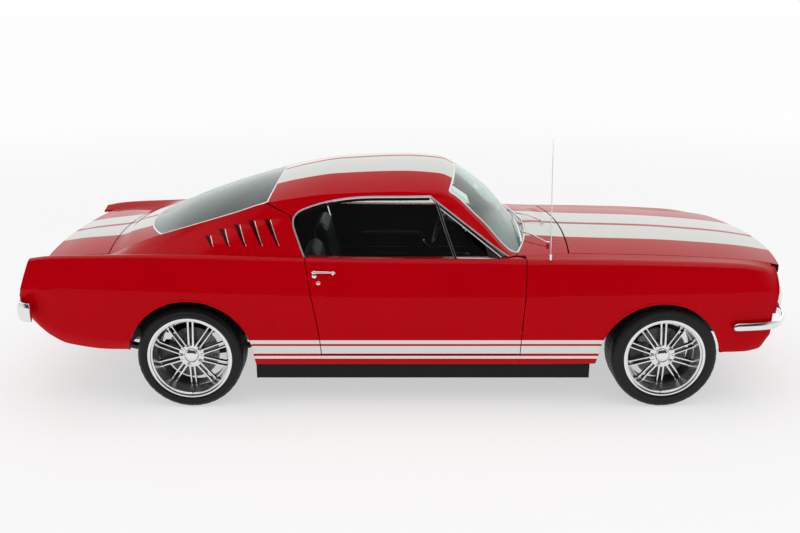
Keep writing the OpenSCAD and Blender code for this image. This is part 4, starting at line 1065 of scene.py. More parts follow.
@dataclass
class Doors:
    """Both doors: skin, lining, hinge straps, glass, vent frame, chrome and handles."""

    thick: float = 156.0
    glass_t: float = 6.0
    pin: tuple[float, float] = (756.0, -822.0)
    hinges: tuple[float, ...] = (522.0, 664.0)
    vent_foot: float = 266.0
    vent_head: float = 152.0

    def skin(self) -> Shape:
        """Right door's outer skin, jambs and flat inside."""
        n = 40
        ss = lambda x: L.low_rows(L.s_low(x, L.door_z), 18) + UPPER
        o = []
        for u in span(0, 1, n):
            xb = lerp(L.door_r, L.door_f, u)
            levels = [(s, L.sec(xb, s)[1]) for s in ss(xb)]
            o.append([L.side(lerp(L.seam_r(z), L.seam_f(z), u), s) for s, z in levels])
        flat = lambda p, u: Vector((p.x + lerp(22, -44, u), self.thick - L.half, p.z))
        inner = [[flat(p, k / n) for p in c] for k, c in enumerate(o)]
        sh = Shape()
        sh.slab(o, inner, 0, 1, 2)
        hx, hy = self.pin
        for z in self.hinges:
            sh.lathe([(4.3, -15), (9, -15), (9, 15), (4.3, 15), (4.3, -15)], (hx, hy, z), "z", 24, 3)
            sh.box((hx - 5, hy + 8, z - 14), (hx + 5, hy + 107, z + 14), 3)
            sh.box((L.seam_f(z) - 60, hy + 97, z - 14), (hx + 5, hy + 107, z + 14), 3)
        return sh

    def glass_point(self, u: float, v: float, t: float) -> Vector:
        """Point of the side glass, u from rear to front, v from belt to roof."""
        v *= 1 - 0.2 * max(0.0, 1 - u / 0.09) ** 2
        b = lerp(L.door_r + 4, L.wind_b - 64, u)
        e = lerp(L.win_r + 3, L.wind_t - 92, u)
        x = lerp(b, e, v)
        p = L.side(x, lerp(4, L.s_high(e, L.win_z(e) - L.gap), v), t + 8)
        return Vector((p.x, p.y, L.z(x, BASE) + 0.3)) if v == 0 else p

    def pane(self) -> Shape:
        """Right side glass."""
        g = lambda t: [[self.glass_point(u, v, t) for v in span(0, 1, 14)] for u in span(0, 1, 30)]
        sh = Shape()
        sh.slab(g(0), g(self.glass_t))
        return sh

    def bright(self) -> Shape:
        """Bright trim on the right door: belt strip, vent post, frame and latch, lock."""
        sh = Shape()
        flat = [(-3, 0), (-2.4, 1.6), (0, 2), (2.4, 1.6), (3, 0)]
        thin = [(-3, -2.5), (-3, 2), (0, 3.5), (3, 2), (3, -2.5)]
        out = (0, -1, 0.5)
        xs = span(L.seam_r(884) + 3, L.seam_f(884) - 3, 40)
        sh.sweep([L.side(x, 3.96, 0.5) for x in xs], flat, [L.normal(x, 3.95) for x in xs], 1)
        post = [self.glass_point(self.u_at(v), v, -3) for v in span(0.0, 1.0, 14)]
        bar = [(-7, -3), (-7, 2), (-1.5, 3), (1.5, 3), (7, 2), (7, -3)]
        sh.sweep(post, bar, out, 1)
        for o in (-6.5, 6.5):
            sh.sweep([p + Vector((o, 0, 0)) for p in post], [(-2, 2), (-1.4, 6), (1.4, 6), (2, 2)], out, 0)
        lead = [self.vent_edge(z, 27, 6) for z in span(893, 1150, 14)]
        sh.sweep(lead, thin, out, 0)
        across = lambda z, t: [self.vent_edge(z, lerp(25 + max(0, 965 - z), 5, k / 3), t) for k in range(4)]
        flap = lambda t: [across(z, t) for z in span(892, 1150, 14)]
        sh.slab(flap(9), flap(13), 1)
        foot = [self.glass_point(lerp(self.u_at(0), 0.95, k / 12), 0.015, -1) for k in range(13)]
        sh.sweep(foot, thin, out, 0)
        c = self.vent_edge(1035, 30, -2)
        sh.tube([c + Vector((-4, 0, -10)), c + Vector((0, -4, 0)), c + Vector((-22, -2, 12))], 4.2, 10)
        lock = L.side(-510, 2.40, 0)
        sh.lathe([(0, -4.5), (5, -4.5), (7, -3.5), (11, -2.5), (13, 0), (13, 3)], lock, "y", 28, 0)
        return sh

    def vent_edge(self, z: float, back: float, t: float) -> Vector:
        """Point beside the windshield post, so far behind its edge and t under the skin."""
        x = L.post_x(z) - back
        return L.side(x, L.s_high(x, z), t)

    def u_at(self, v: float) -> float:
        """Where the vent post stands along the glass at a height v."""
        x = lerp(self.vent_foot, self.vent_head, v)
        b = lerp(L.door_r + 4, L.win_r + 3, v)
        e = lerp(L.wind_b - 64, L.wind_t - 92, v)
        return clamp((x - b) / (e - b), 0, 1)

    def handle(self) -> Shape:
        """Chrome pull with its push button, feet and escutcheons."""
        x0, s = L.door_r + 38, 2.69
        sh = Shape()
        rows = []
        for k in range(29):
            u = k / 28
            x = x0 + 135 * u
            out = 15 + 8 * math.sin(math.pi * u) ** 0.7
            tip = math.sqrt(max(0.03, 1 - abs(2 * u - 1) ** 7))
            h, d = lerp(5.0, 7.5, 1 - u) * tip, 5.2 * tip
            mid = L.side(x, s, -out)
            rows.append([mid + Vector((0, d * math.cos(a), h * math.sin(a))) for a in turns(16)])
        sh.grid(rows, 0, loop_v=True)
        b = len(sh.verts)
        sh.face(range(b - 16, b))
        sh.face(range(b - 29 * 16, b - 28 * 16))
        for dx, r in ((14, 11.0), (121, 9.5)):
            foot = [(0, -17), (r - 3, -17), (r - 2.4, -6), (r, -3), (r + 3, -0.8), (r + 3, 3)]
            sh.lathe(foot, L.side(x0 + dx, s, 0), "y", 24)
        knob = L.side(x0 + 16, s, 0) - Vector((0, 0, 13))
        sh.lathe([(0, -23), (9, -22.5), (12.5, -20), (13.5, -15), (15, -4), (17, 0), (17, 3)], knob, "y", 32)
        return sh

    def lining(self) -> Shape:
        """Inside of the right door: padded card with three ribs, arm rest, crank and pull."""
        y = self.thick - L.half
        sh = Shape()
        card = [(-470, 380), (540, 380), (566, 430), (572, 800), (540, 842), (-520, 842), (-548, 800),
                (-520, 430)]
        sh.prism([(x, y - 1, z) for x, z in card], (0, 7, 0), 0)
        for z in (470, 520, 570):
            line = [Vector((x, y + 6, z)) for x in span(-480, 540, 8)]
            sh.sweep(line, [(-2, -1), (-1, 2), (1, 2), (2, -1)], (0, 1, 0), 1)
        rest = [(-330, 4, 650), (-310, 34, 668), (-120, 44, 676), (60, 40, 672), (110, 4, 650)]
        arm = curve([(x, y + d, z) for x, d, z in rest], 24)
        sh.sweep(arm, [(15 * math.cos(a), 24 * math.sin(a)) for a in turns(14)], (0, 0, 1), 0)
        crank = Vector((120, y + 6, 610))
        sh.lathe([(0, 14), (9, 14), (16, 8), (20, 0)], crank, "y", 24, 1)
        winder = [(0, 12, 0), (30, 18, -20), (62, 18, -44)]
        sh.tube([crank + Vector(d) for d in winder], 4, 8, 1)
        sh.lathe([(0, 34), (8, 33), (10, 28), (7, 16), (0, 16)], crank + Vector((62, 0, -44)), "y", 20, 0)
        pull = curve([(330, y + 6, 726), (336, y + 20, 728), (390, y + 24, 730), (436, y + 18, 728)], 14)
        sh.sweep(pull, [(-3, -8), (-3, 8), (3, 8), (3, -8)], (0, 0, 1), 1)
        sh.lathe([(0, 6), (26, 5), (30, 0)], (334, y + 5, 726), "y", 28, 1)
        return sh

    def build(self) -> None:
        """Makes both doors."""
        skin, pane, bright = self.skin(), self.pane(), self.bright()
        handle, lining = self.handle(), self.lining()
        for s in ("right", "left"):
            side = (lambda sh: sh) if s == "right" else (lambda sh: sh.mirror())
            b = f"door_{s}"
            side(skin).build(f"{b}_skin", [RED_SIDE, VINYL, RED, STEEL], b, "red_paint", [b], bevel=2.0,
                             angle=22)
            side(pane).build(f"{b}_pane", [SIDE_GLASS], b, "glass", [f"door_glass_{s}"])
            side(bright).build(f"{b}_bright", [EDGING, SEAL], b, "chrome")
            side(handle).build(f"{b}_pull", [CHROME], b, "chrome", [f"handle_{s}"])
            side(lining).build(f"{b}_lining", [VINYL, CHROME], b, "black_vinyl", bevel=3.0)


@dataclass
class Glazing:
    """Windshield and rear window with their bright surrounds, and the side window edges."""

    glass_t: float = 6.0
    bend_x: float = 66.0
    bend_z: float = 1052.0
    mirror_z: float = 1196.0

    def pane(self, x0: float, x1: float, nx: int, inset: float) -> Shape:
        """Bent glass on the upper surface."""
        return L.top_slab(x0, x1, nx, inset, self.glass_t, nq=40)

    def surround(self, x0: float, x1: float, inset: float, w: float, h: float) -> Shape:
        """Bright strip round a bent glass."""
        loop = [L.top(x0, q, inset, 1) for q in span(-0.985, 0.985, 36)]
        loop += [L.top(x, 1, inset, 1) for x in span(x0, x1, 26)[1:-1]]
        loop += [L.top(x1, q, inset, 1) for q in span(0.985, -0.985, 36)]
        loop += [L.top(x, -1, inset, 1) for x in span(x1, x0, 26)[1:-1]]
        a, b = L.top(x0, 0, inset), L.top(x1, 0, inset)
        up = (b - a).cross(Vector((0, 1, 0))).normalized()
        up = up if up.z > 0 else -up
        sh = Shape()
        sec = [(-w, -1), (-w, h * 0.6), (-w * 0.5, h), (w * 0.5, h), (w, h * 0.6), (w, -1)]
        ups = [(up + Vector((0, 0.75 * p.y / 650, 0))).normalized() for p in loop]
        sh.sweep(loop, sec, ups, loop=True)
        return sh

    def rail(self) -> Shape:
        """Bright edge over the right side window and down to the belt."""
        sh = Shape()
        pts, ups = [], []
        for z in span(892, self.bend_z, 12):
            x = L.seam_r(z) - L.gap - 1
            pts.append(L.side(x, L.s_high(x, z), -1))
            ups.append(L.normal(x, L.s_high(x, z)))
        sh.sweep(pts, BEAD, ups)
        pts, ups = [], []
        for x in span(L.win_r + self.bend_x - 2, 122, 60):
            s = L.s_high(x, L.win_z(x) + 1)
            pts.append(L.side(x, s, -1))
            ups.append(L.normal(x, s))
        for x in span(L.wind_t + 18, L.wind_b - 14, 26):
            pts.append(L.post_edge(x) + Vector((0, -1, 0.5)))
            ups.append(Vector((0, -1, 0.35)).normalized())
        sh.sweep(pts, BEAD, ups)
        seal = [L.side(x, L.s_high(x, L.win_z(x) - 6), 22) for x in span(L.win_r + 30, 120, 50)]
        sh.sweep(seal, [(-4, -7), (-4, 7), (4, 7), (4, -7)], (0, -0.5, 0.85), 1)
        return sh

    def corner(self) -> Shape:
        """Painted fillet in the upper rear corner of the right side window."""
        sh = Shape()
        end = L.win_r + self.bend_x
        rows = []
        for u in span(0, 1, 10):
            a, b, c = (1 - u) ** 2, 2 * u * (1 - u), u * u
            x = a * (L.seam_r(self.bend_z) - L.gap) + b * L.win_r + c * end
            z = a * self.bend_z + b * L.corner_z + c * L.win_z(end)
            rows.append([(lerp(L.win_r, x, v), lerp(L.corner_z, z, v)) for v in (0.0, 0.25, 0.5, 0.75, 1.0)])
        put = lambda t: [[L.side(x, L.s_high(x, z), t) for x, z in r] for r in rows]
        sh.slab(put(-0.4), put(5), 2)
        edge = put(-1.6)
        sh.sweep([r[-1] for r in edge], BEAD, [L.normal(r[-1].x, 4.6) for r in edge])
        return sh

    def build(self) -> None:
        """Makes the glass and its trim."""
        ws, rw = (L.wind_t + 4, L.wind_b - 2), (L.back_b + 4, L.back_t - 3.2)
        self.pane(*ws, 24, 43).build("windshield_glass", [GLASS], "body", "glass", ["windshield"])
        self.pane(*rw, 30, 1).build("rear_glass", [SHADE], "body", "glass", ["rear_window"])
        sh = self.surround(*ws, 43, 6, 3).join(self.surround(*rw, 4, 4.5, 2.5))
        sh.build("glass_surrounds", [EDGING], "body", "chrome")
        self.rail().join(self.corner()).both().build("window_rails", [EDGING, SEAL, RED], "body", "chrome")
        m = Shape()
        m.prism([(292, y, z) for y, z in self.mirror_outline()], (-26, 0, 0), 0)
        mz = self.mirror_z
        m.prism([(265.5, y * 0.95, mz + (z - mz) * 0.9) for y, z in self.mirror_outline()], (-1, 0, 0), 1)
        m.tube([(280, 0, 1210), (296, 0, 1240), (292, 0, 1268), (300, 0, 1284)], 6, 12, 0)
        m.build("cabin_mirror", [CHROME, MIRROR], "body", "chrome", bevel=3.0)

    def mirror_outline(self) -> list[tuple[float, float]]:
        """Outline of the cabin mirror in y and z."""
        return [(y, self.mirror_z + z) for y, z in squircle(100, 26, 0.45, 0.6, 40)]


def blade(half: Outline, tip: float, z: float, steps: int, h: float, d: float, taper: float) -> Shape:
    """Bumper blade with a crowned face and rounded ends.

    Args:
        half: Places (x, y) from one end towards the middle.
        tip: x of the middle.
        z: Height of the middle line.
        steps: Steps along the blade.
        h: Height of the blade.
        d: Depth of its crown.
        taper: Share of the length over which each end rounds off.
    Returns:
        The closed blade.
    """
    pts = [(x, y, z) for x, y in half] + [(tip, 0, z)] + [(x, -y, z) for x, y in reversed(half)]
    path = curve(pts, steps)
    n, rows = len(path), []
    for k, p in enumerate(path):
        t = (path[min(k + 1, n - 1)] - path[max(k - 1, 0)]).normalized()
        side = Vector((t.y, -t.x, 0))
        e = min(k, n - 1 - k) / (n - 1)
        f = math.sqrt(clamp(1 - (1 - min(1.0, e / taper)) ** 2, 0.02, 1))
        ring = []
        for j in range(15):
            a = math.radians(-90 + 180 * j / 14)
            ring.append((d * math.cos(a) ** 0.7, h / 2 * math.sin(a)))
        ring += [(-3.5, h / 2 - 4), (-4, h / 4), (-4, -h / 4), (-3.5, 4 - h / 2)]
        rows.append([p + side * a + Vector((0, 0, b * f)) for a, b in ring])
    sh = Shape()
    sh.grid(rows, 0, loop_v=True)
    m = len(rows[0])
    sh.face(range(m))
    sh.face(range(n * m - 1, (n - 1) * m - 1, -1))
    return sh


@dataclass
class Nose:
    """Front face, valance, grille, headlamps and front bumper."""

    lamp_y: float = 622.0
    lamp_z: float = 682.0
    lamp_r: float = 89.0
    nose_x: float = 2305.0
    open_outline: tuple[tuple[float, float], ...] = (
        (-452, 590), (452, 590), (486, 690), (470, 762), (-470, 762), (-486, 690))

    def face_x(self, y: float, z: float) -> float:
        """Front face at a place."""
        return L.xf + 748 - 108 * (y / 690) ** 2 + 0.06 * (z - 680)

    @staticmethod
    def reach(outline: Outline, a: float, cz: float) -> tuple[float, float]:
        """Where a ray from the middle leaves an outline."""
        dy, dz = math.cos(a), math.sin(a)
        best = (0.0, cz)
        far = 0.0
        for (y0, z0), (y1, z1) in zip(outline, list(outline[1:]) + [outline[0]]):
            ey, ez = y1 - y0, z1 - z0
            det = dz * ey - dy * ez
            if abs(det) > 1e-9:
                t = (ey * (z0 - cz) - ez * y0) / det
                s = (dy * (z0 - cz) - dz * y0) / det
                if t > far and -1e-6 <= s <= 1 + 1e-6:
                    far, best = t, (dy * t, cz + dz * t)
        return best

    def face(self) -> Shape:
        """Painted face round the grille, and the valance under the bumper."""
        outer = [(-555, 560), (555, 560), (555, 782), (-555, 782)]
        cz = 675.0
        angles = turns(96)
        angles += [math.atan2(z - cz, y) % (2 * math.pi) for y, z in list(outer) + list(self.open_outline)]
        rows = []
        for a in sorted(set(round(v, 6) for v in angles)):
            i, o = self.reach(self.open_outline, a, cz), self.reach(outer, a, cz)
            pts = [(lerp(i[0], o[0], v), lerp(i[1], o[1], v)) for v in (0, 0.12, 0.4, 0.7, 1)]
            x = lambda p, t: Vector((self.face_x(*p) - 30 - t, p[0], p[1]))
            front = [x(pts[0], 30), x(pts[0], 8)] + [x(p, 0) for p in pts[1:]]
            rows.append(front + [x(p, 14) for p in pts[:1:-1]] + [x(pts[1], 16)])
        sh = Shape()
        sh.grid(rows, 0, loop_u=True, loop_v=True)
        prof = curve([(-52, 0, 338), (-26, 0, 362), (-8, 0, 410), (0, 0, 452), (2, 0, 482)], 14)
        at = lambda p, y, t: Vector((L.xf + 700 + p.x - 74 * (y / 716) ** 2 - t, y, p.z))
        g = lambda t: [[at(p, y, t) for y in span(716, -716, 48)] for p in prof]
        sh.slab(g(0), g(14), 0, 1)
        for s in (-1, 1):
            sh.box((L.xf + 640, s * 534 - 14, 440), (L.xf + 652, s * 534 + 14, 600), 1)
        return sh

    def lamps(self) -> tuple[Shape, Shape, Shape]:
        """Bezel and reflector, lens, and the parking lamps, on the right side."""
        at = (L.fender_f, -self.lamp_y, self.lamp_z)
        r = self.lamp_r
        shell, lens, park = Shape(), Shape(), Shape()
        bezel = [(r + 0.5, 2), (r + 9, 16.5), (r + 9, 21), (r + 5, 25), (r - 3, 24), (r - 8, 17), (r - 9, 6)]
        shell.lathe(bezel, at, "x", 64, 0)
        bowl = [(r - 8, 7), (r - 20, -12), (r - 48, -32), (12, -38), (10, -30), (0, -26)]
        shell.lathe(bowl, at, "x", 48, 0)
        front = [(r - 8.5, 8), (r - 10, 14), (r - 26, 19), (r - 50, 22), (20, 23), (0, 23.2)]
        lens.lathe(front, at, "x", 56, 0)
        y, z = -430, 416
        x = L.xf + 700 - 8 - 74 * (y / 716) ** 2
        oval = lambda w, h: squircle(w, h, 0.6, 0.6, 32)
        park.prism([(x - 8, y + p, z + q) for p, q in oval(62, 27)], (13, 0, 0), 0)
        park.prism([(x - 4, y + p, z + q) for p, q in oval(53, 19)], (14, 0, 0), 1)
        return shell, lens, park

    def bumper(self) -> Shape:
        """Front bumper blade with two guards and its irons."""
        hw, xf = L.half, L.xf
        half = [(xf + 374, 38 - hw), (xf + 480, 48 - hw), (xf + 590, 72 - hw), (xf + 662, 120 - hw),
                (xf + 742, -600), (xf + 790, -320)]
        sh = blade(half, self.nose_x - 17, 498.0, 150, 48, 17, 0.03)
        guard = [(760, 468), (798, 468), (812, 478), (817, 496), (818, 530), (812, 580), (805, 604),
                 (795, 618), (782, 620), (772, 606), (764, 540)]
        one = Shape()
        one.prism([(xf + x, -342, q) for x, q in guard], (0, -70, 0))
        one.box((xf + 560.3, -428, 484), (xf + 776, -372, 518), 1)
        return sh.join(one.both())

    def grille_trim(self) -> Shape:
        """Bright frame round the mouth, and a dark plate behind the mesh as painted shade in the mouth."""
        sh = Shape()
        gx = L.xf + 640.9
        pts = [Vector((gx + 12, y * 1.008, 676 + (z - 676) * 1.02)) for y, z in self.open_outline]
        loop: list[Vector] = []
        for a, b in zip(pts, pts[1:] + pts[:1]):
            loop += [a.lerp(b, t) for t in (0.03, 0.06, 0.25, 0.5, 0.75, 0.94, 0.97)]
        for p in loop:
            p.x += 26 * (1 - (p.y / 500) ** 2)
        sh.sweep(loop, [(-6, -6), (-6, 5), (-2, 8), (3, 6), (6, -6)], (1, 0, 0), 0, loop=True)
        # Black plate filling the mouth behind the mesh: painted shade.
        sh.prism([(gx - 16, y, z) for y, z in self.open_outline], (4, 0, 0), 1)
        cross = [Vector((gx + 20, y, 678)) for y in span(-350, 350, 20)]
        sh.sweep(cross, [(-7, -4), (-7, 4), (-3, 8), (3, 8), (7, 4), (7, -4)], (1, 0, 0), 0)
        return sh

    def build(self) -> None:
        """Makes the front of the car."""
        self.face().build("nose_face", [RED, SEALER], "body", "red_paint", ["nose_panel"], bevel=2.0)
        shell, lens, park = self.lamps()
        shell.both().build("headlamp_shells", [CHROME], "body", "chrome")
        lens.both().build("headlamp_lenses", [LAMP_LENS], "body", "lamp_glass", ["headlamps"])
        park.both().build("parking_lamps", [CHROME, AMBER], "body", "chrome", bevel=2.5)
        self.bumper().build("front_bumper_blade", [CHROME, IRON], "body", "chrome", ["front_bumper"],
                            bevel=3.0)
        self.grille_trim().build("grille_frame", [CHROME, TRIM_AND_PAINTED_SHADE], "body", "chrome")


@dataclass
class Tail:
    """Rear face with its lamps, plain round cap and rear bumper."""

    tail_x: float = -2305.0
    lamp_w: float = 52.0
    lamp_h: float = 120.0

    @staticmethod
    def face_x(y: float, z: float) -> float:
        """x of the rear face, which bows out in the middle."""
        return L.tail_end(z) + 44 - 22 * (1 - (y / 690) ** 2)

    def panel(self) -> Shape:
        """Painted rear face and the valance under the bumper."""
        sh = Shape()
        at = lambda y, z, t: Vector((self.face_x(y, z) + t, y, z))
        g = lambda t: [[at(y, z, t) for y in span(-690, 690, 48)] for z in span(600, 826, 16)]
        sh.slab(g(0), g(14), 0, 1)
        prof = curve([(150, 0, 400), (90, 0, 440), (24, 0, 520), (4, 0, 600)], 12)
        low = lambda p, y, t: Vector((L.tail_end(640) + p.x - 22 * (1 - (y / 700) ** 2) + t, y, p.z))
        v = lambda t: [[low(p, y, t) for y in span(-700, 700, 48)] for p in prof]
        sh.slab(v(0), v(14), 0, 1)
        sx = L.tail_end(838) + 68
        for s in (-1, 1):
            sh.box((L.tail_end(640) + 40, s * 520 - 20, 484.3), (L.xr - 795, s * 520 + 20, 575), 1)
            sh.box((L.tail_end(826) + 38, s * 500 - 14, 806), (sx + 12, s * 500 + 14, 821), 1)
            sh.lathe([(0, 0), (10, 0), (10, 13), (7, 16), (0, 16)], (sx, s * 500, 820), "z", 20, 2)
        sh.box((L.tail_end(640) + 8, -640, 560), (L.tail_end(640) + 60, 640, 612), 1)
        return sh

    def ends(self) -> Shape:
        """Sunk end of the right quarter beside the rear face."""
        rows = []
        for s in span(0.15, 4.75, 46):
            p = L.side(L.tail_end(L.sec(L.xr - 900, s)[1]), s, 3) + Vector((1.5, 0, 0))
            y, z = -min(690, abs(p.y) - 4), clamp(p.z, 604, 828)
            q = Vector((self.face_x(y, z) + 3, y, z))
            rows.append([p.lerp(q, v) for v in (0, 0.33, 0.66, 1)])
        sh = Shape()
        sh.slab(rows, [[p + Vector((4, 0, 0)) for p in r] for r in rows], 0, 1)
        return sh

    def lamps(self) -> Shape:
        """Three upright lenses a side, each in a bright frame."""
        sh = Shape()
        a = math.atan(0.27)
        ux, uz = Vector((math.cos(a), 0, -math.sin(a))), Vector((math.sin(a), 0, math.cos(a)))
        for k in range(3):
            y = 415 + 74 * k
            x = self.face_x(y - 26, 688)
            o = Vector((x - 12.6, -y - 26, 688))
            P = lambda d, v, w: o + ux * d + Vector((0, v, 0)) + uz * w
            W, H = self.lamp_w, self.lamp_h
            g = []
            for w in span(0, 1, 20):
                row = []
                for v in span(0, 1, 10):
                    crown = 4 * v * (1 - v)
                    row.append(P(3.5 - 4.5 * crown ** 0.6, 5 + v * (W - 10), 5 + w * (H - 10)))
                g.append(row)
            sh.slab(g, [[p + ux * 9 for p in r] for r in g], 0)
            ring = [P(5, 3, 3), P(5, W - 3, 3), P(5, W - 3, H - 3), P(5, 3, H - 3)]
            loop: list[Vector] = []
            for p, q in zip(ring, ring[1:] + ring[:1]):
                loop += [p.lerp(q, t) for t in (0.04, 0.08, 0.5, 0.92, 0.96)]
            sh.sweep(loop, [(-4, -6), (-4, 4), (-1, 6.5), (2, 5), (4, -6)], [-ux] * len(loop), 1, loop=True)
        return sh

    def bumper(self) -> Shape:
        """Wraparound rear bumper, its irons and the plate bracket."""
        hw, xr = L.half, L.xr
        half = [(xr - 874, hw - 22), (xr - 920, hw - 34), (xr - 962, hw - 84), (xr - 996, 600),
                (xr - 1016, 320)]
        sh = blade(half, self.tail_x + 18, 590.0, 140, 112, 18, 0.025)
        for s in (-1, 1):
            sh.box((xr - 1008, s * 495 - 25, 565), (L.tail_end(640) - 8, s * 495 + 25, 605), 1)
            bolt = [(0, -6), (9, -6), (11, -3), (13, 0), (13, 4)]
            sh.lathe(bolt, (self.tail_x + 18, s * 89, 500), "x", 20, 0)
        sh.box((self.tail_x + 18, -150, 446), (self.tail_x + 22, 150, 560), 1)
        return sh

    def cap(self) -> Shape:
        """Plain round fuel cap in the middle of the rear face."""
        sh = Shape()
        prof = [(0, -16), (30, -15), (34, -12), (44, -11), (48, -14), (58, -13), (64, -7), (66, 0), (66, 6)]
        sh.lathe(prof, (self.face_x(0, 716), 0, 716), "x", 64, 0)
        return sh

    def build(self) -> None:
        """Makes the rear of the car."""
        face = self.panel().join(self.ends().both())
        face.build("tail_face", [RED, SEALER, SEAL], "body", "red_paint", ["tail_panel"], bevel=2.0)
        self.lamps().both().build("tail_lamp_set", [RED_LENS, CHROME], "body", "red_lens", ["tail_lamps"],
                                  bevel=1.2)
        self.bumper().build("rear_bumper_blade", [CHROME, IRON], "body", "chrome", ["rear_bumper"], bevel=2.0)
        self.cap().build("fuel_cap", [CHROME], "body", "chrome")


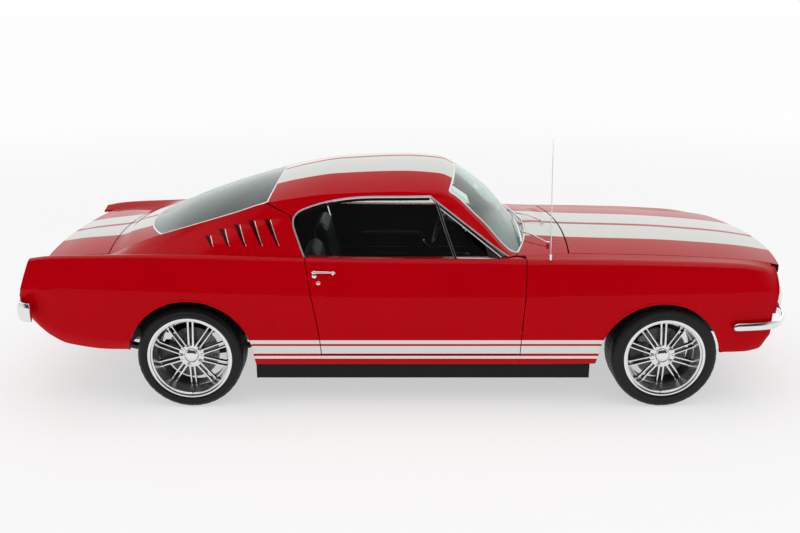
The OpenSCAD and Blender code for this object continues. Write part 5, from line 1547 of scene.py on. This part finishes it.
@dataclass
class Wheels:
    """Four wheels: chrome rims with twin bars, hubs with lug nuts, discs and tyres."""

    pairs: int = 10
    front_r: float = 234.0
    rear_r: float = 244.0
    rim_w: float = 228.0
    tyre_r: float = 306.0
    tyre_w: float = 235.0
    tyre_steps: int = 216
    track: float = 1422.0
    disc_r: float = 152.0
    bar_gap: float = 12.0

    def rim(self, r: float) -> Shape:
        """Right-hand rim about the origin, outside towards -y."""
        sh = Shape()
        h = self.rim_w / 2
        out = [(r, 8 - h), (r + 0.5, 4 - h), (r, 1 - h), (r - 3, -h), (r - 9, 0.5 - h), (r - 14, 3 - h),
               (r - 15.5, 8 - h), (r - 17, 10 - h), (r - 22, 11 - h), (r - 25, 14 - h), (r - 27, 22 - h),
               (r - 33, 40 - h), (r - 40, 58 - h), (r - 45, 70 - h), (r - 46, 82 - h)]
        sh.lathe(out[:9], (0, 0, 0), "y", 96, 0)
        sh.lathe(out[8:], (0, 0, 0), "y", 96, 2)
        # The well behind the bars is black trim: painted shade inside the barrel.
        well = [(r - 46, 82 - h), (r - 43, 90 - h), (r - 41, 98 - h), (r - 41, h - 34), (r - 24, h - 10),
                (r - 8, h), (r, h), (r, h - 8), (r - 16, h - 12), (r - 18, h - 24), (r - 34, h - 40),
                (r - 34, 100 - h), (r - 22, 60 - h), (r - 20, 20 - h), (r, 8 - h)]
        sh.lathe(well, (0, 0, 0), "y", 96, 1)
        for turn in turns(self.pairs):
            for side in (-1, 1):
                self.bar(sh, r, turn, side * self.bar_gap)
        hub = [(0, 48 - h), (36, 48 - h), (40, 49 - h), (45, 47 - h), (50, 47 - h), (66, 49 - h),
               (73, 52 - h), (76, 58 - h), (76, 70 - h), (70, 84 - h)]
        sh.lathe(hub, (0, 0, 0), "y", 80, 0)
        cap = [(0, 30 - h), (14, 30.6 - h), (28, 33 - h), (36, 37 - h), (41, 43 - h), (43, 50 - h)]
        sh.lathe(cap, (0, 0, 0), "y", 64, 0)
        for k in range(5):
            a = 2 * math.pi * (k + 0.5) / 5
            c = Vector((58 * math.cos(a), 0, 58 * math.sin(a)))
            washer = [(12.5, 48.6 - h), (12, 46.5 - h), (10.5, 48.2 - h), (10.2, 54 - h), (0, 54 - h)]
            sh.lathe(washer, c, "y", 24, 1)
            hexa = [c + Vector((10.5 * math.cos(b), 50 - h, 10.5 * math.sin(b))) for b in turns(6)]
            sh.prism(hexa, (0, -12, 0), 0)
            sh.lathe([(9, 38.2 - h), (7.5, 35 - h), (4, 33 - h), (0, 32.6 - h)], c, "y", 20, 0)
        sh.tube([(0, 22 - h, -(r - 30)), (0, 4 - h, -(r - 36)), (0, 4 - h, -(r - 39))], 3.4, 10, 1)
        return sh

    def bar(self, sh: Shape, r: float, turn: float, off: float) -> None:
        """One bar from hub to rim, rounded on its outer face."""
        h = self.rim_w / 2
        c, s = math.cos(turn), math.sin(turn)
        rows = []
        for u in span(0, 1, 16):
            rad = lerp(44, r - 43, u)
            dish = lerp(46, 66, u ** 1.3)
            flare = 1 + 0.35 * max(0, (u - 0.8) / 0.2) ** 2 + 0.25 * max(0, (0.2 - u) / 0.2)
            w = lerp(6.0, 5.0, u) * flare
            sec = [(-w, 20), (-w, 4), (-w * 0.86, 1.2), (-w * 0.45, 0), (w * 0.45, 0), (w * 0.86, 1.2),
                   (w, 4), (w, 20)]
            o = off * (1 + 0.18 * u)
            put = lambda a, d: Vector(((o + a) * c + rad * s, dish - h + d, -(o + a) * s + rad * c))
            rows.append([put(a, d) for a, d in sec])
        sh.grid(rows, 0, loop_v=True)

    def disc(self) -> Shape:
        """Brake disc with a groove round its edge, three rings of dimples, and the inner hub."""
        sh = Shape()
        R = self.disc_r
        prof = [(30.5, 4), (R - 2, 4), (R, 2), (R, -2), (R - 2, -4), (R - 4, -4.5), (R - 4, -7), (R, -8),
                (R, -11), (R - 2, -12), (80, -12), (76, -14), (74, -30), (60, -34), (30.5, -34)]
        sh.lathe(prof, (0, 0, 0), "y", 72, 0)
        for k in range(24):
            for j, rr in enumerate((100, 118, 136)):
                a = 2 * math.pi * (k + 0.27 * j) / 24
                at = (rr * math.cos(a), 0, rr * math.sin(a))
                sh.lathe([(0, -12.6), (3.2, -12.6), (4.2, -12.2), (4.4, -11.5)], at, "y", 8, 1)
        return sh

    def tyre(self, r: float) -> Shape:
        """Low tyre with four grooves, shoulder cuts and a raised rim guard."""
        h, R, w = self.tyre_w / 2, self.tyre_r, self.rim_w / 2
        bead = [(r - 17, w - 24), (r + 1, w - 12), (r + 1, w - 3), (r + 5, w + 0.5)]
        wall = [(r + 10, h - 2), (r + 14, h - 0.5), (r + 17, h - 0.5), (r + 20, h - 2), (r + 30, h - 1),
                (r + 40, h - 1.5), (R - 20, h - 3.5), (R - 13, h - 7)]
        shoulder = [(R - 8, h - 12), (R - 4, h - 18), (R - 2, h - 25), (R - 0.6, h - 36), (R, h - 48)]
        groove = [(R, h - 62), (R - 6.5, h - 63.5), (R - 6.5, h - 70), (R, h - 71.5)]
        rib = [(R, 24), (R, 17)]
        middle = [(R - 6.5, 15.5), (R - 6.5, 8.5), (R, 7)]
        zones = ((bead, 0), (wall, 0), (shoulder, 1), (groove, 0), (rib, 2), (middle, 0))
        half = [(a, b, kind) for part, kind in zones for a, b in part]
        prof = half + [(a, -b, k) for a, b, k in reversed(half)]
        rows = []
        for k, a in enumerate(turns(self.tyre_steps)):
            cut = 1.8 if k % 6 == 0 else 0.0
            sipe = 3.0 if k % 4 == 0 else 0.0
            row = []
            for rad, y, kind in prof:
                rr = rad - (cut if kind == 1 else sipe if kind == 2 else 0.0)
                lean = 0.035 * (1 if kind else 0) * (abs(y) - 60) / 60
                row.append(Vector((rr * math.cos(a + lean), y, rr * math.sin(a + lean))))
            rows.append(row)
        sh = Shape()
        sh.grid(rows, 0, loop_u=True, loop_v=True)
        return sh

    def build(self) -> None:
        """Makes all four wheels."""
        disc = self.disc()
        for end, x, r in (("front", L.xf, self.front_r), ("rear", L.xr, self.rear_r)):
            rim, tyre = self.rim(r), self.tyre(r)
            for s, sign in (("right", -1), ("left", 1)):
                body = f"wheel_{end}_{s}"
                put = lambda sh: self.placed(sh if sign < 0 else sh.mirror(), x, sign * self.track / 2)
                put(rim).build(f"rim_{end}_{s}_bright", [CHROME, TRIM_AND_PAINTED_SHADE, LIP], body, "wheel_chrome",
                               [f"rim_{end}_{s}"], angle=30)
                put(disc).build(f"disc_{end}_{s}", [DISC, TRIM_AND_PAINTED_SHADE], body, "bare_steel")
                skin = Rubber(centre=(x * MM, L.axle_z * MM))
                put(tyre).build(f"tyre_{end}_{s}_rubber", [skin], body, "tyre", [f"tyre_{end}_{s}"], angle=40)

    @staticmethod
    def placed(sh: Shape, x: float, y: float) -> Shape:
        """A copy of a wheel shape at its axle end."""
        return Shape([v + Vector((x, y, L.axle_z)) for v in sh.verts], list(sh.faces), list(sh.marks))


@dataclass
class Cabin:
    """Seats, dashboard dials, steering wheel, console, shelf and linings."""

    seat_y: float = 372.0
    seat_w: float = 436.0
    bench_w: float = 1030.0
    col: tuple[float, float, float] = (278.0, 372.0, 838.0)
    tilt: float = 110.0
    wheel_r: float = 190.0
    swell: float = 0.012

    def pad(self, name: str, outline: Outline, width: float, y: float,
            pinch: float) -> bpy.types.Object:
        """One cushion from its side outline, swollen by cloth simulation.

        Args:
            name: Name of the piece.
            outline: Side view in x and z.
            width: Width across the car.
            y: Middle of the cushion.
            pinch: How much the ends draw in.
        Returns:
            The cushion, not yet dressed.
        """
        sh = Shape()
        rows = []
        c = Vector((sum(p[0] for p in outline) / len(outline), 0, sum(p[1] for p in outline) / len(outline)))
        for u in span(-1, 1, 12):
            f = 1 - pinch * abs(u) ** 4
            rows.append([Vector((lerp(c.x, x, f), y + u * width / 2, lerp(c.z, z, f))) for x, z in outline])
        sh.grid(rows, 0, loop_v=True)
        m = len(outline)
        sh.face(range(m))
        sh.face(range(12 * m, 13 * m))
        mesh = bpy.data.meshes.new(name)
        mesh.from_pydata([v * MM for v in sh.verts], [], sh.faces)
        bm = bmesh.new()
        bm.from_mesh(mesh)
        bmesh.ops.recalc_face_normals(bm, faces=bm.faces)
        bm.to_mesh(mesh)
        bm.free()
        obj = bpy.data.objects.new(name, mesh)
        bpy.context.collection.objects.link(obj)
        self.puff(obj)
        return obj

    def puff(self, obj: bpy.types.Object) -> None:
        """Remeshes a pad, swells it with cloth pressure, and rounds it."""
        m = obj.modifiers.new("remesh", "REMESH")
        m.mode, m.voxel_size = "VOXEL", 0.013
        self.apply(obj)
        rest = [v.co.copy() for v in obj.data.vertices]
        m = obj.modifiers.new("cloth", "CLOTH")
        m.settings.use_pressure = True
        m.settings.uniform_pressure_force = 4.0
        m.settings.effector_weights.gravity = 0.0
        m.settings.quality = 4
        m.point_cache.frame_end = 20
        for f in range(1, 21):
            bpy.context.scene.frame_set(f)
        self.apply(obj)
        bpy.context.scene.frame_set(1)
        for v, r in zip(obj.data.vertices, rest):
            d = v.co - r
            if d.length > self.swell:
                v.co = r + d * (self.swell / d.length)
        m = obj.modifiers.new("even", "SMOOTH")
        m.factor, m.iterations = 0.5, 6
        m = obj.modifiers.new("round", "SUBSURF")
        m.levels = m.render_levels = 1
        self.apply(obj)
        for p in obj.data.polygons:
            p.use_smooth = True
        bpy.context.view_layer.update()

    @staticmethod
    def apply(obj: bpy.types.Object) -> None:
        """Bakes all modifiers into the mesh."""
        deps = bpy.context.evaluated_depsgraph_get()
        mesh = bpy.data.meshes.new_from_object(obj.evaluated_get(deps))
        old = obj.data
        obj.modifiers.clear()
        obj.data = mesh
        bpy.data.meshes.remove(old)

    def quilt(self, obj: bpy.types.Object, y: float, width: float, pitch: float, normal: Vector) -> None:
        """Sews channels into the face of a pad, and a seam round its facing.

        Args:
            obj: The pad.
            y: Middle of the pad.
            width: Its width.
            pitch: Distance between channels.
            normal: Direction that the sitting face looks.
        """
        mesh = obj.data
        for v in mesh.vertices:
            f = v.normal.dot(normal)
            d = v.co.y / MM - y
            if f > 0.45 and abs(d) < width * 0.36:
                ch = abs(math.sin(math.pi * d / pitch))
                v.co -= v.normal * (1 - min(1.0, ch * 1.9)) * 0.006
            elif abs(abs(d) - width * 0.40) < 9 and f > 0.2:
                v.co -= v.normal * 0.004

    def seats(self) -> None:
        """Front buckets and the rear bench."""
        x = L.xr + 815
        base = [(x + 10, 344), (x + 466, 344), (x + 494, 380), (x + 486, 432), (x + 430, 458), (x + 240, 444),
                (x + 56, 418), (x + 12, 400)]
        back = [(x - 60, 384), (x + 34, 414), (x + 14, 480), (x - 60, 690), (x - 96, 850), (x - 122, 886),
                (x - 164, 880), (x - 182, 846), (x - 120, 590)]
        finish = VINYL.material()
        parts: list[bpy.types.Object] = []
        for name, outline, n in (("seat_base", base, Vector((0, 0, 1))),
                                 ("seat_back", back, Vector((0.96, 0, 0.28)))):
            o = self.pad(f"{name}_right", outline, self.seat_w, -self.seat_y, 0.10)
            self.quilt(o, -self.seat_y, self.seat_w, 42, n)
            o.data.materials.append(finish)
            twin = bpy.data.objects.new(f"{name}_left", o.data.copy())
            for v in twin.data.vertices:
                v.co.y = -v.co.y
            twin.data.flip_normals()
            bpy.context.collection.objects.link(twin)
            parts += [o, twin]
        xb = L.xr + 160
        bench = [(xb + 60, 506), (xb + 240, 502), (xb + 330, 512), (xb + 372, 530), (xb + 364, 556),
                 (xb + 316, 566), (xb + 50, 540)]
        rest = [(xb - 44, 500), (xb + 36, 540), (xb - 78, 824), (xb - 108, 842), (xb - 140, 828),
                (xb - 70, 560)]
        for name, outline, n in (("bench_base", bench, Vector((0, 0, 1))),
                                 ("bench_back", rest, Vector((0.93, 0, 0.37)))):
            o = self.pad(name, outline, self.bench_w, 0, 0.06)
            self.quilt(o, 0, self.bench_w, 48, n)
            o.data.materials.append(finish)
            parts.append(o)
        for o in parts:
            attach(o, "body")
            LOG.info("%s: %d faces", o.name, len(o.data.polygons))
        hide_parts("front_seats")
        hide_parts("rear_seat")
        sh = Shape()
        for s in (-1, 1):
            for k in (-175, 175):
                yy = s * self.seat_y + k
                runner = [Vector((q, yy, 232)) for q in span(x + 15, x + 425, 6)]
                sh.sweep(runner, [(-14, -11), (-14, 9), (-6, 13), (6, 13), (14, 9), (14, -11)], mark=1)
                for q in (x + 60, x + 370):
                    leg = [(-16, 240), (16, 240), (10, 352), (-10, 352)]
                    sh.prism([(q + a, yy - 8, b) for a, b in leg], (0, 16, 0), 1)
            yo = s * (self.seat_y + 232)
            sh.lathe([(0, -6), (20, -6), (26, 0), (20, 6), (0, 6)], (x - 10, yo - s * 12, 392), "y", 28, 0)
        piping = [(x + 486, -self.seat_y - 190, 440), (x + 492, -self.seat_y, 442),
                  (x + 486, -self.seat_y + 190, 440)]
        sh.tube(curve(piping, 16), 4, 8, 2)
        sh.tube([(p[0], p[1] + 2 * self.seat_y, p[2]) for p in curve(piping, 16)], 4, 8, 2)
        sh.build("seat_rails", [CHROME, IRON, VINYL], "body", "bare_steel", bevel=1.5)

    def steering(self) -> None:
        """Three-spoke wheel with a grip and a plain hub cap."""
        sh = Shape()
        rows = []
        for a in turns(72):
            grip = 11.5 + 1.0 * abs(math.sin(10 * a))
            ring = [(self.wheel_r - 13 + grip * math.cos(b), grip * math.sin(b)) for b in turns(14)]
            rows.append([Vector((r * math.cos(a), r * math.sin(a), z)) for r, z in ring])
        sh.grid(rows, 0, loop_u=True, loop_v=True)
        hub = [(0, -14), (20, -13), (32, -8), (38, 0), (36, 10), (34, 39.5), (0, 39.5)]
        sh.lathe(hub, (0, 0, 0), "z", 40, 2)
        for a in (0, 120, 240):
            c, s = math.cos(math.radians(a)), math.sin(math.radians(a))
            spoke = [(26, -14), (70, -11), (120, -12), (172, -16), (172, 16), (120, 12), (70, 11), (26, 14)]
            sh.prism([(u * c - v * s, u * s + v * c, 1.0) for u, v in spoke], (0, 0, 4), 1)
            for u in (66, 98, 130):
                sh.lathe([(0, 0.4), (7, 0.4), (8, 0.8), (8, 2)], (u * c, u * s, 0), "z", 20, 0)
        t = math.radians(self.tilt)
        ax, az = Vector((math.cos(t), 0, -math.sin(t))), Vector((math.sin(t), 0, math.cos(t)))
        o = Vector(self.col) - az * 40
        sh.verts = [o + ax * v.x + Vector((0, v.y, 0)) + az * v.z for v in sh.verts]
        sh.build("steering_wheel_rim", [VINYL, CHROME, TRIM_AND_PAINTED_SHADE], "steering_wheel", "black_trim",
                 ["steering_wheel"])

    def dash(self) -> None:
        """Dials, glove box, radio and knobs on the dashboard; pedals, console and shift lever."""
        x = L.xf - 880
        sh = Shape()
        for dy, r in ((-128, 30), (-62, 30), (0, 40), (62, 30), (128, 30)):
            at = (x - 62, self.seat_y + dy, 778)
            sh.lathe([(r + 8, 8), (r + 7, -8), (r + 3, -12), (r, -8), (r, 0)], at, "x", 40, 0)
            sh.lathe([(0, -1), (r, -1)], at, "x", 40, 1)
            for j in range(9):
                a = math.radians(-30 + 30 * j)
                out = lambda e: Vector(at) + Vector((-2.5, e * math.cos(a), e * math.sin(a)))
                sh.tube([out(r - 8), out(r - 3)], 0.8, 4, 2)
            reach = (r - 10) * 0.7
            sh.tube([(at[0] - 3.5, at[1], at[2]), (at[0] - 3.5, at[1] + reach, at[2] + reach)], 1.1, 4, 3)
        glove = [(x - 68, -560, 748), (x - 68, -250, 748), (x - 74, -250, 812), (x - 74, -560, 812)]
        sh.prism(glove, (-6, 0, 0), 4)
        for dx, z, w in ((80, 816, 4), (71, 742, 3)):
            line = [Vector((x - dx, y, z)) for y in span(-620, 620, 12)]
            sh.sweep(line, [(-w, -3), (-w, 3), (w, 3), (w, -3)], (-1, 0, 0), 0)
        sh.lathe([(0, -16), (8, -16), (9, -4), (12, 0)], (x - 74, -405, 780), "x", 20, 0)
        radio = [(x - 64, -90, 752), (x - 64, 90, 752), (x - 70, 90, 806), (x - 70, -90, 806)]
        sh.prism(radio, (-8, 0, 0), 4)
        for y in (-64, 64):
            sh.lathe([(0, -26), (10, -26), (12, -8), (14, 0)], (x - 72, y, 778), "x", 24, 0)
        for k, y in enumerate((300, 372, 452)):
            z = 400 - 10 * k
            pedal = [(x + 6, y - 26, 330), (x + 6, y + 26, 330), (x + 34, y + 26, z), (x + 34, y - 26, z)]
            sh.prism(pedal, (-10, 0, 4), 4)
            sh.tube([(x + 26, y, 372), (x + 70, y, 560), (x + 80, y, 660)], 7, 8, 3)
        con = [(x - 330, 400.4), (x + 60, 400.4), (x + 60, 520), (x - 20, 560), (x - 90, 470), (x - 330, 452)]
        sh.prism([(a, -92, b) for a, b in con], (0, 184, 0), 4)
        sh.lathe([(44, 0), (38, 10), (22, 34), (9, 52)], (x - 190, 0, 460), "z", 28, 4)
        sh.tube(curve([(x - 190, 0, 500), (x - 196, 0, 590), (x - 210, 0, 668)], 12), 6.5, 12, 0)
        knob = [(0, 26), (14, 22), (22, 8), (22, -6), (14, -20), (6, -24), (0, -24)]
        sh.lathe(knob, (x - 212, 0, 688), "z", 28, 3)
        tick = Metal(colour=rgb(0.9, 0.9, 0.88), rough=0.5)
        sh.build("dash_fittings", [CHROME, TRIM_AND_PAINTED_SHADE, tick, TRIM_AND_PAINTED_SHADE, VINYL], "body", "chrome", bevel=1.2)

    def linings(self) -> None:
        """Rear shelf and sill plates."""
        sh = Shape()
        along = lambda x: (x + 1620) / 620
        at = lambda x, y, dz: Vector((x, y * lerp(0.86, 1, along(x)), lerp(858, 876, along(x)) - dz))
        shelf = lambda dz: [[at(x, y, dz) for y in span(-575, 575, 10)] for x in span(-1620, -1395, 8)]
        sh.slab(shelf(0), shelf(8), 0)
        for s in (-1, 1):
            sill = [Vector((x, s * (L.half - 120), 333)) for x in span(-470, 600, 20)]
            sh.sweep(sill, [(-26, -6.5), (-26, 0), (-22, 2), (22, 2), (26, 0), (26, -6.5)], mark=1)
        sh.build("cabin_linings", [VINYL, DULL], "body", "black_vinyl", bevel=1.5)

    def build(self) -> None:
        """Makes the cabin."""
        self.seats()
        self.steering()
        self.dash()
        self.linings()


@dataclass
class Underbody:
    """Finishes for the CAD nodes that stay as they are."""

    edge: float = 2.5

    def build(self) -> None:
        """Dresses each node and rounds its edges."""
        plan: dict[str, Finish] = {
            "floor_pan": Carpet(), "engine_bay": SEALER, "lamp_buckets": RED, "grille": DULL,
            "dashboard": VINYL, "engine": ENGINE, "radiator": TRIM_AND_PAINTED_SHADE, "rear_axle": IRON,
            "front_suspension": SEALER, "exhaust": STEEL, "fuel_tank": STEEL, "wipers": CHROME,
            "antenna": CHROME, "knuckle_right": IRON, "knuckle_left": IRON}
        for name, finish in plan.items():
            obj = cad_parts[name]
            obj.data.materials.clear()
            obj.data.materials.append(finish.material())
            if name not in ("wipers", "antenna", "exhaust", "grille"):
                soften(obj, self.edge, 50)
            LOG.info("%s dressed", name)


@dataclass
class Studio:
    """Pale floor, soft overhead light, white surroundings and the camera."""

    lens: float = 40.635
    eye: tuple[float, float, float] = (-0.0505, -5.688, 2.262)
    pitch: float = 73.9
    floor_half: float = 250.0
    box_size: tuple[float, float] = (8.0, 5.0)
    box_power: float = 45.0
    box_place: tuple[float, float, float] = (0.3, -0.6, 5.2)

    def floor(self) -> None:
        """Wide pale floor that keeps the shadow."""
        mesh = bpy.data.meshes.new("floor")
        f = self.floor_half
        mesh.from_pydata([(-f, -f, 0), (f, -f, 0), (f, f, 0), (-f, f, 0)], [], [(0, 1, 2, 3)])
        mat = bpy.data.materials.new("floor_white")
        t = Tree(mat)
        x, y, _ = t.coords()
        glow = ((x * x + y * y) ** 0.5).ramp(3.5, 16.0, 0.54, 0.62)
        white = t.mix(t.noise(0.8, 3.0) * 0.3, rgb(0.57, 0.57, 0.575), rgb(0.55, 0.55, 0.555))
        t.output(t.surface(Base_Color=white, Roughness=0.6, Specular_IOR_Level=0.0,
                           Emission_Color=t.mix(glow, rgb(0, 0, 0), rgb(1, 1, 1)), Emission_Strength=1.0))
        mesh.materials.append(mat)
        obj = bpy.data.objects.new("floor", mesh)
        bpy.context.collection.objects.link(obj)

    def light(self) -> None:
        """Soft box overhead; reflections see dark low sides, with bright walls at the ends and far side."""
        lamp = bpy.data.lights.new("soft_box", "AREA")
        lamp.shape, lamp.energy = "RECTANGLE", self.box_power
        lamp.size, lamp.size_y = self.box_size
        obj = bpy.data.objects.new("soft_box", lamp)
        obj.location = self.box_place
        bpy.context.collection.objects.link(obj)
        world = bpy.context.scene.world or bpy.data.worlds.new("studio")
        bpy.context.scene.world = world
        t = Tree(world)
        ray = lambda k: t.node("ShaderNodeLightPath", k)
        way = t.node("ShaderNodeTexCoord", "Generated")
        along, across, up = (t.node("ShaderNodeSeparateXYZ", k, inputs={0: way}) for k in range(3))
        seen = ray("Is Camera Ray").most(ray("Is Transmission Ray"))
        low = up.ramp(0.66, 0.86, 1.0, 0.0)
        wall = (abs(along).ramp(0.62, 0.90, 0.0, 0.8) * low).most(across.ramp(0.05, 0.45, 0.0, 1.2))
        gloss = up.ramp(0.78, 0.93, 0.05, 1.1).most(wall)
        soft = up.ramp(0.0, 0.7, 0.58, 0.66)
        level = seen.most(t.node("ShaderNodeMix", 0, inputs={0: ray("Is Glossy Ray"), 2: soft, 3: gloss}))
        t.output(t.node("ShaderNodeBackground", inputs={"Color": rgb(1, 1, 1), "Strength": level}),
                 world=True)

    def camera(self) -> None:
        """Camera at the photograph's place."""
        cam = bpy.data.cameras.new("camera")
        cam.sensor_width, cam.lens = 36.0, self.lens
        obj = bpy.data.objects.new("camera", cam)
        obj.location, obj.rotation_euler = self.eye, (math.radians(self.pitch), 0, 0)
        bpy.context.collection.objects.link(obj)
        bpy.context.scene.camera = obj

    def build(self) -> None:
        """Sets the stage."""
        self.floor()
        self.light()
        self.camera()
        bpy.context.scene.view_settings.view_transform = "Standard"


def main() -> None:
    """Builds every sub-assembly in order."""
    logging.basicConfig(level=logging.INFO, format="%(message)s")
    for kind in (Studio, Cabin, SidePanels, TopPanels, Doors, Glazing, Nose, Tail, Wheels, Underbody):
        LOG.info("building %s", kind.__name__)
        kind().build()


if __name__ == "__main__":
    main()
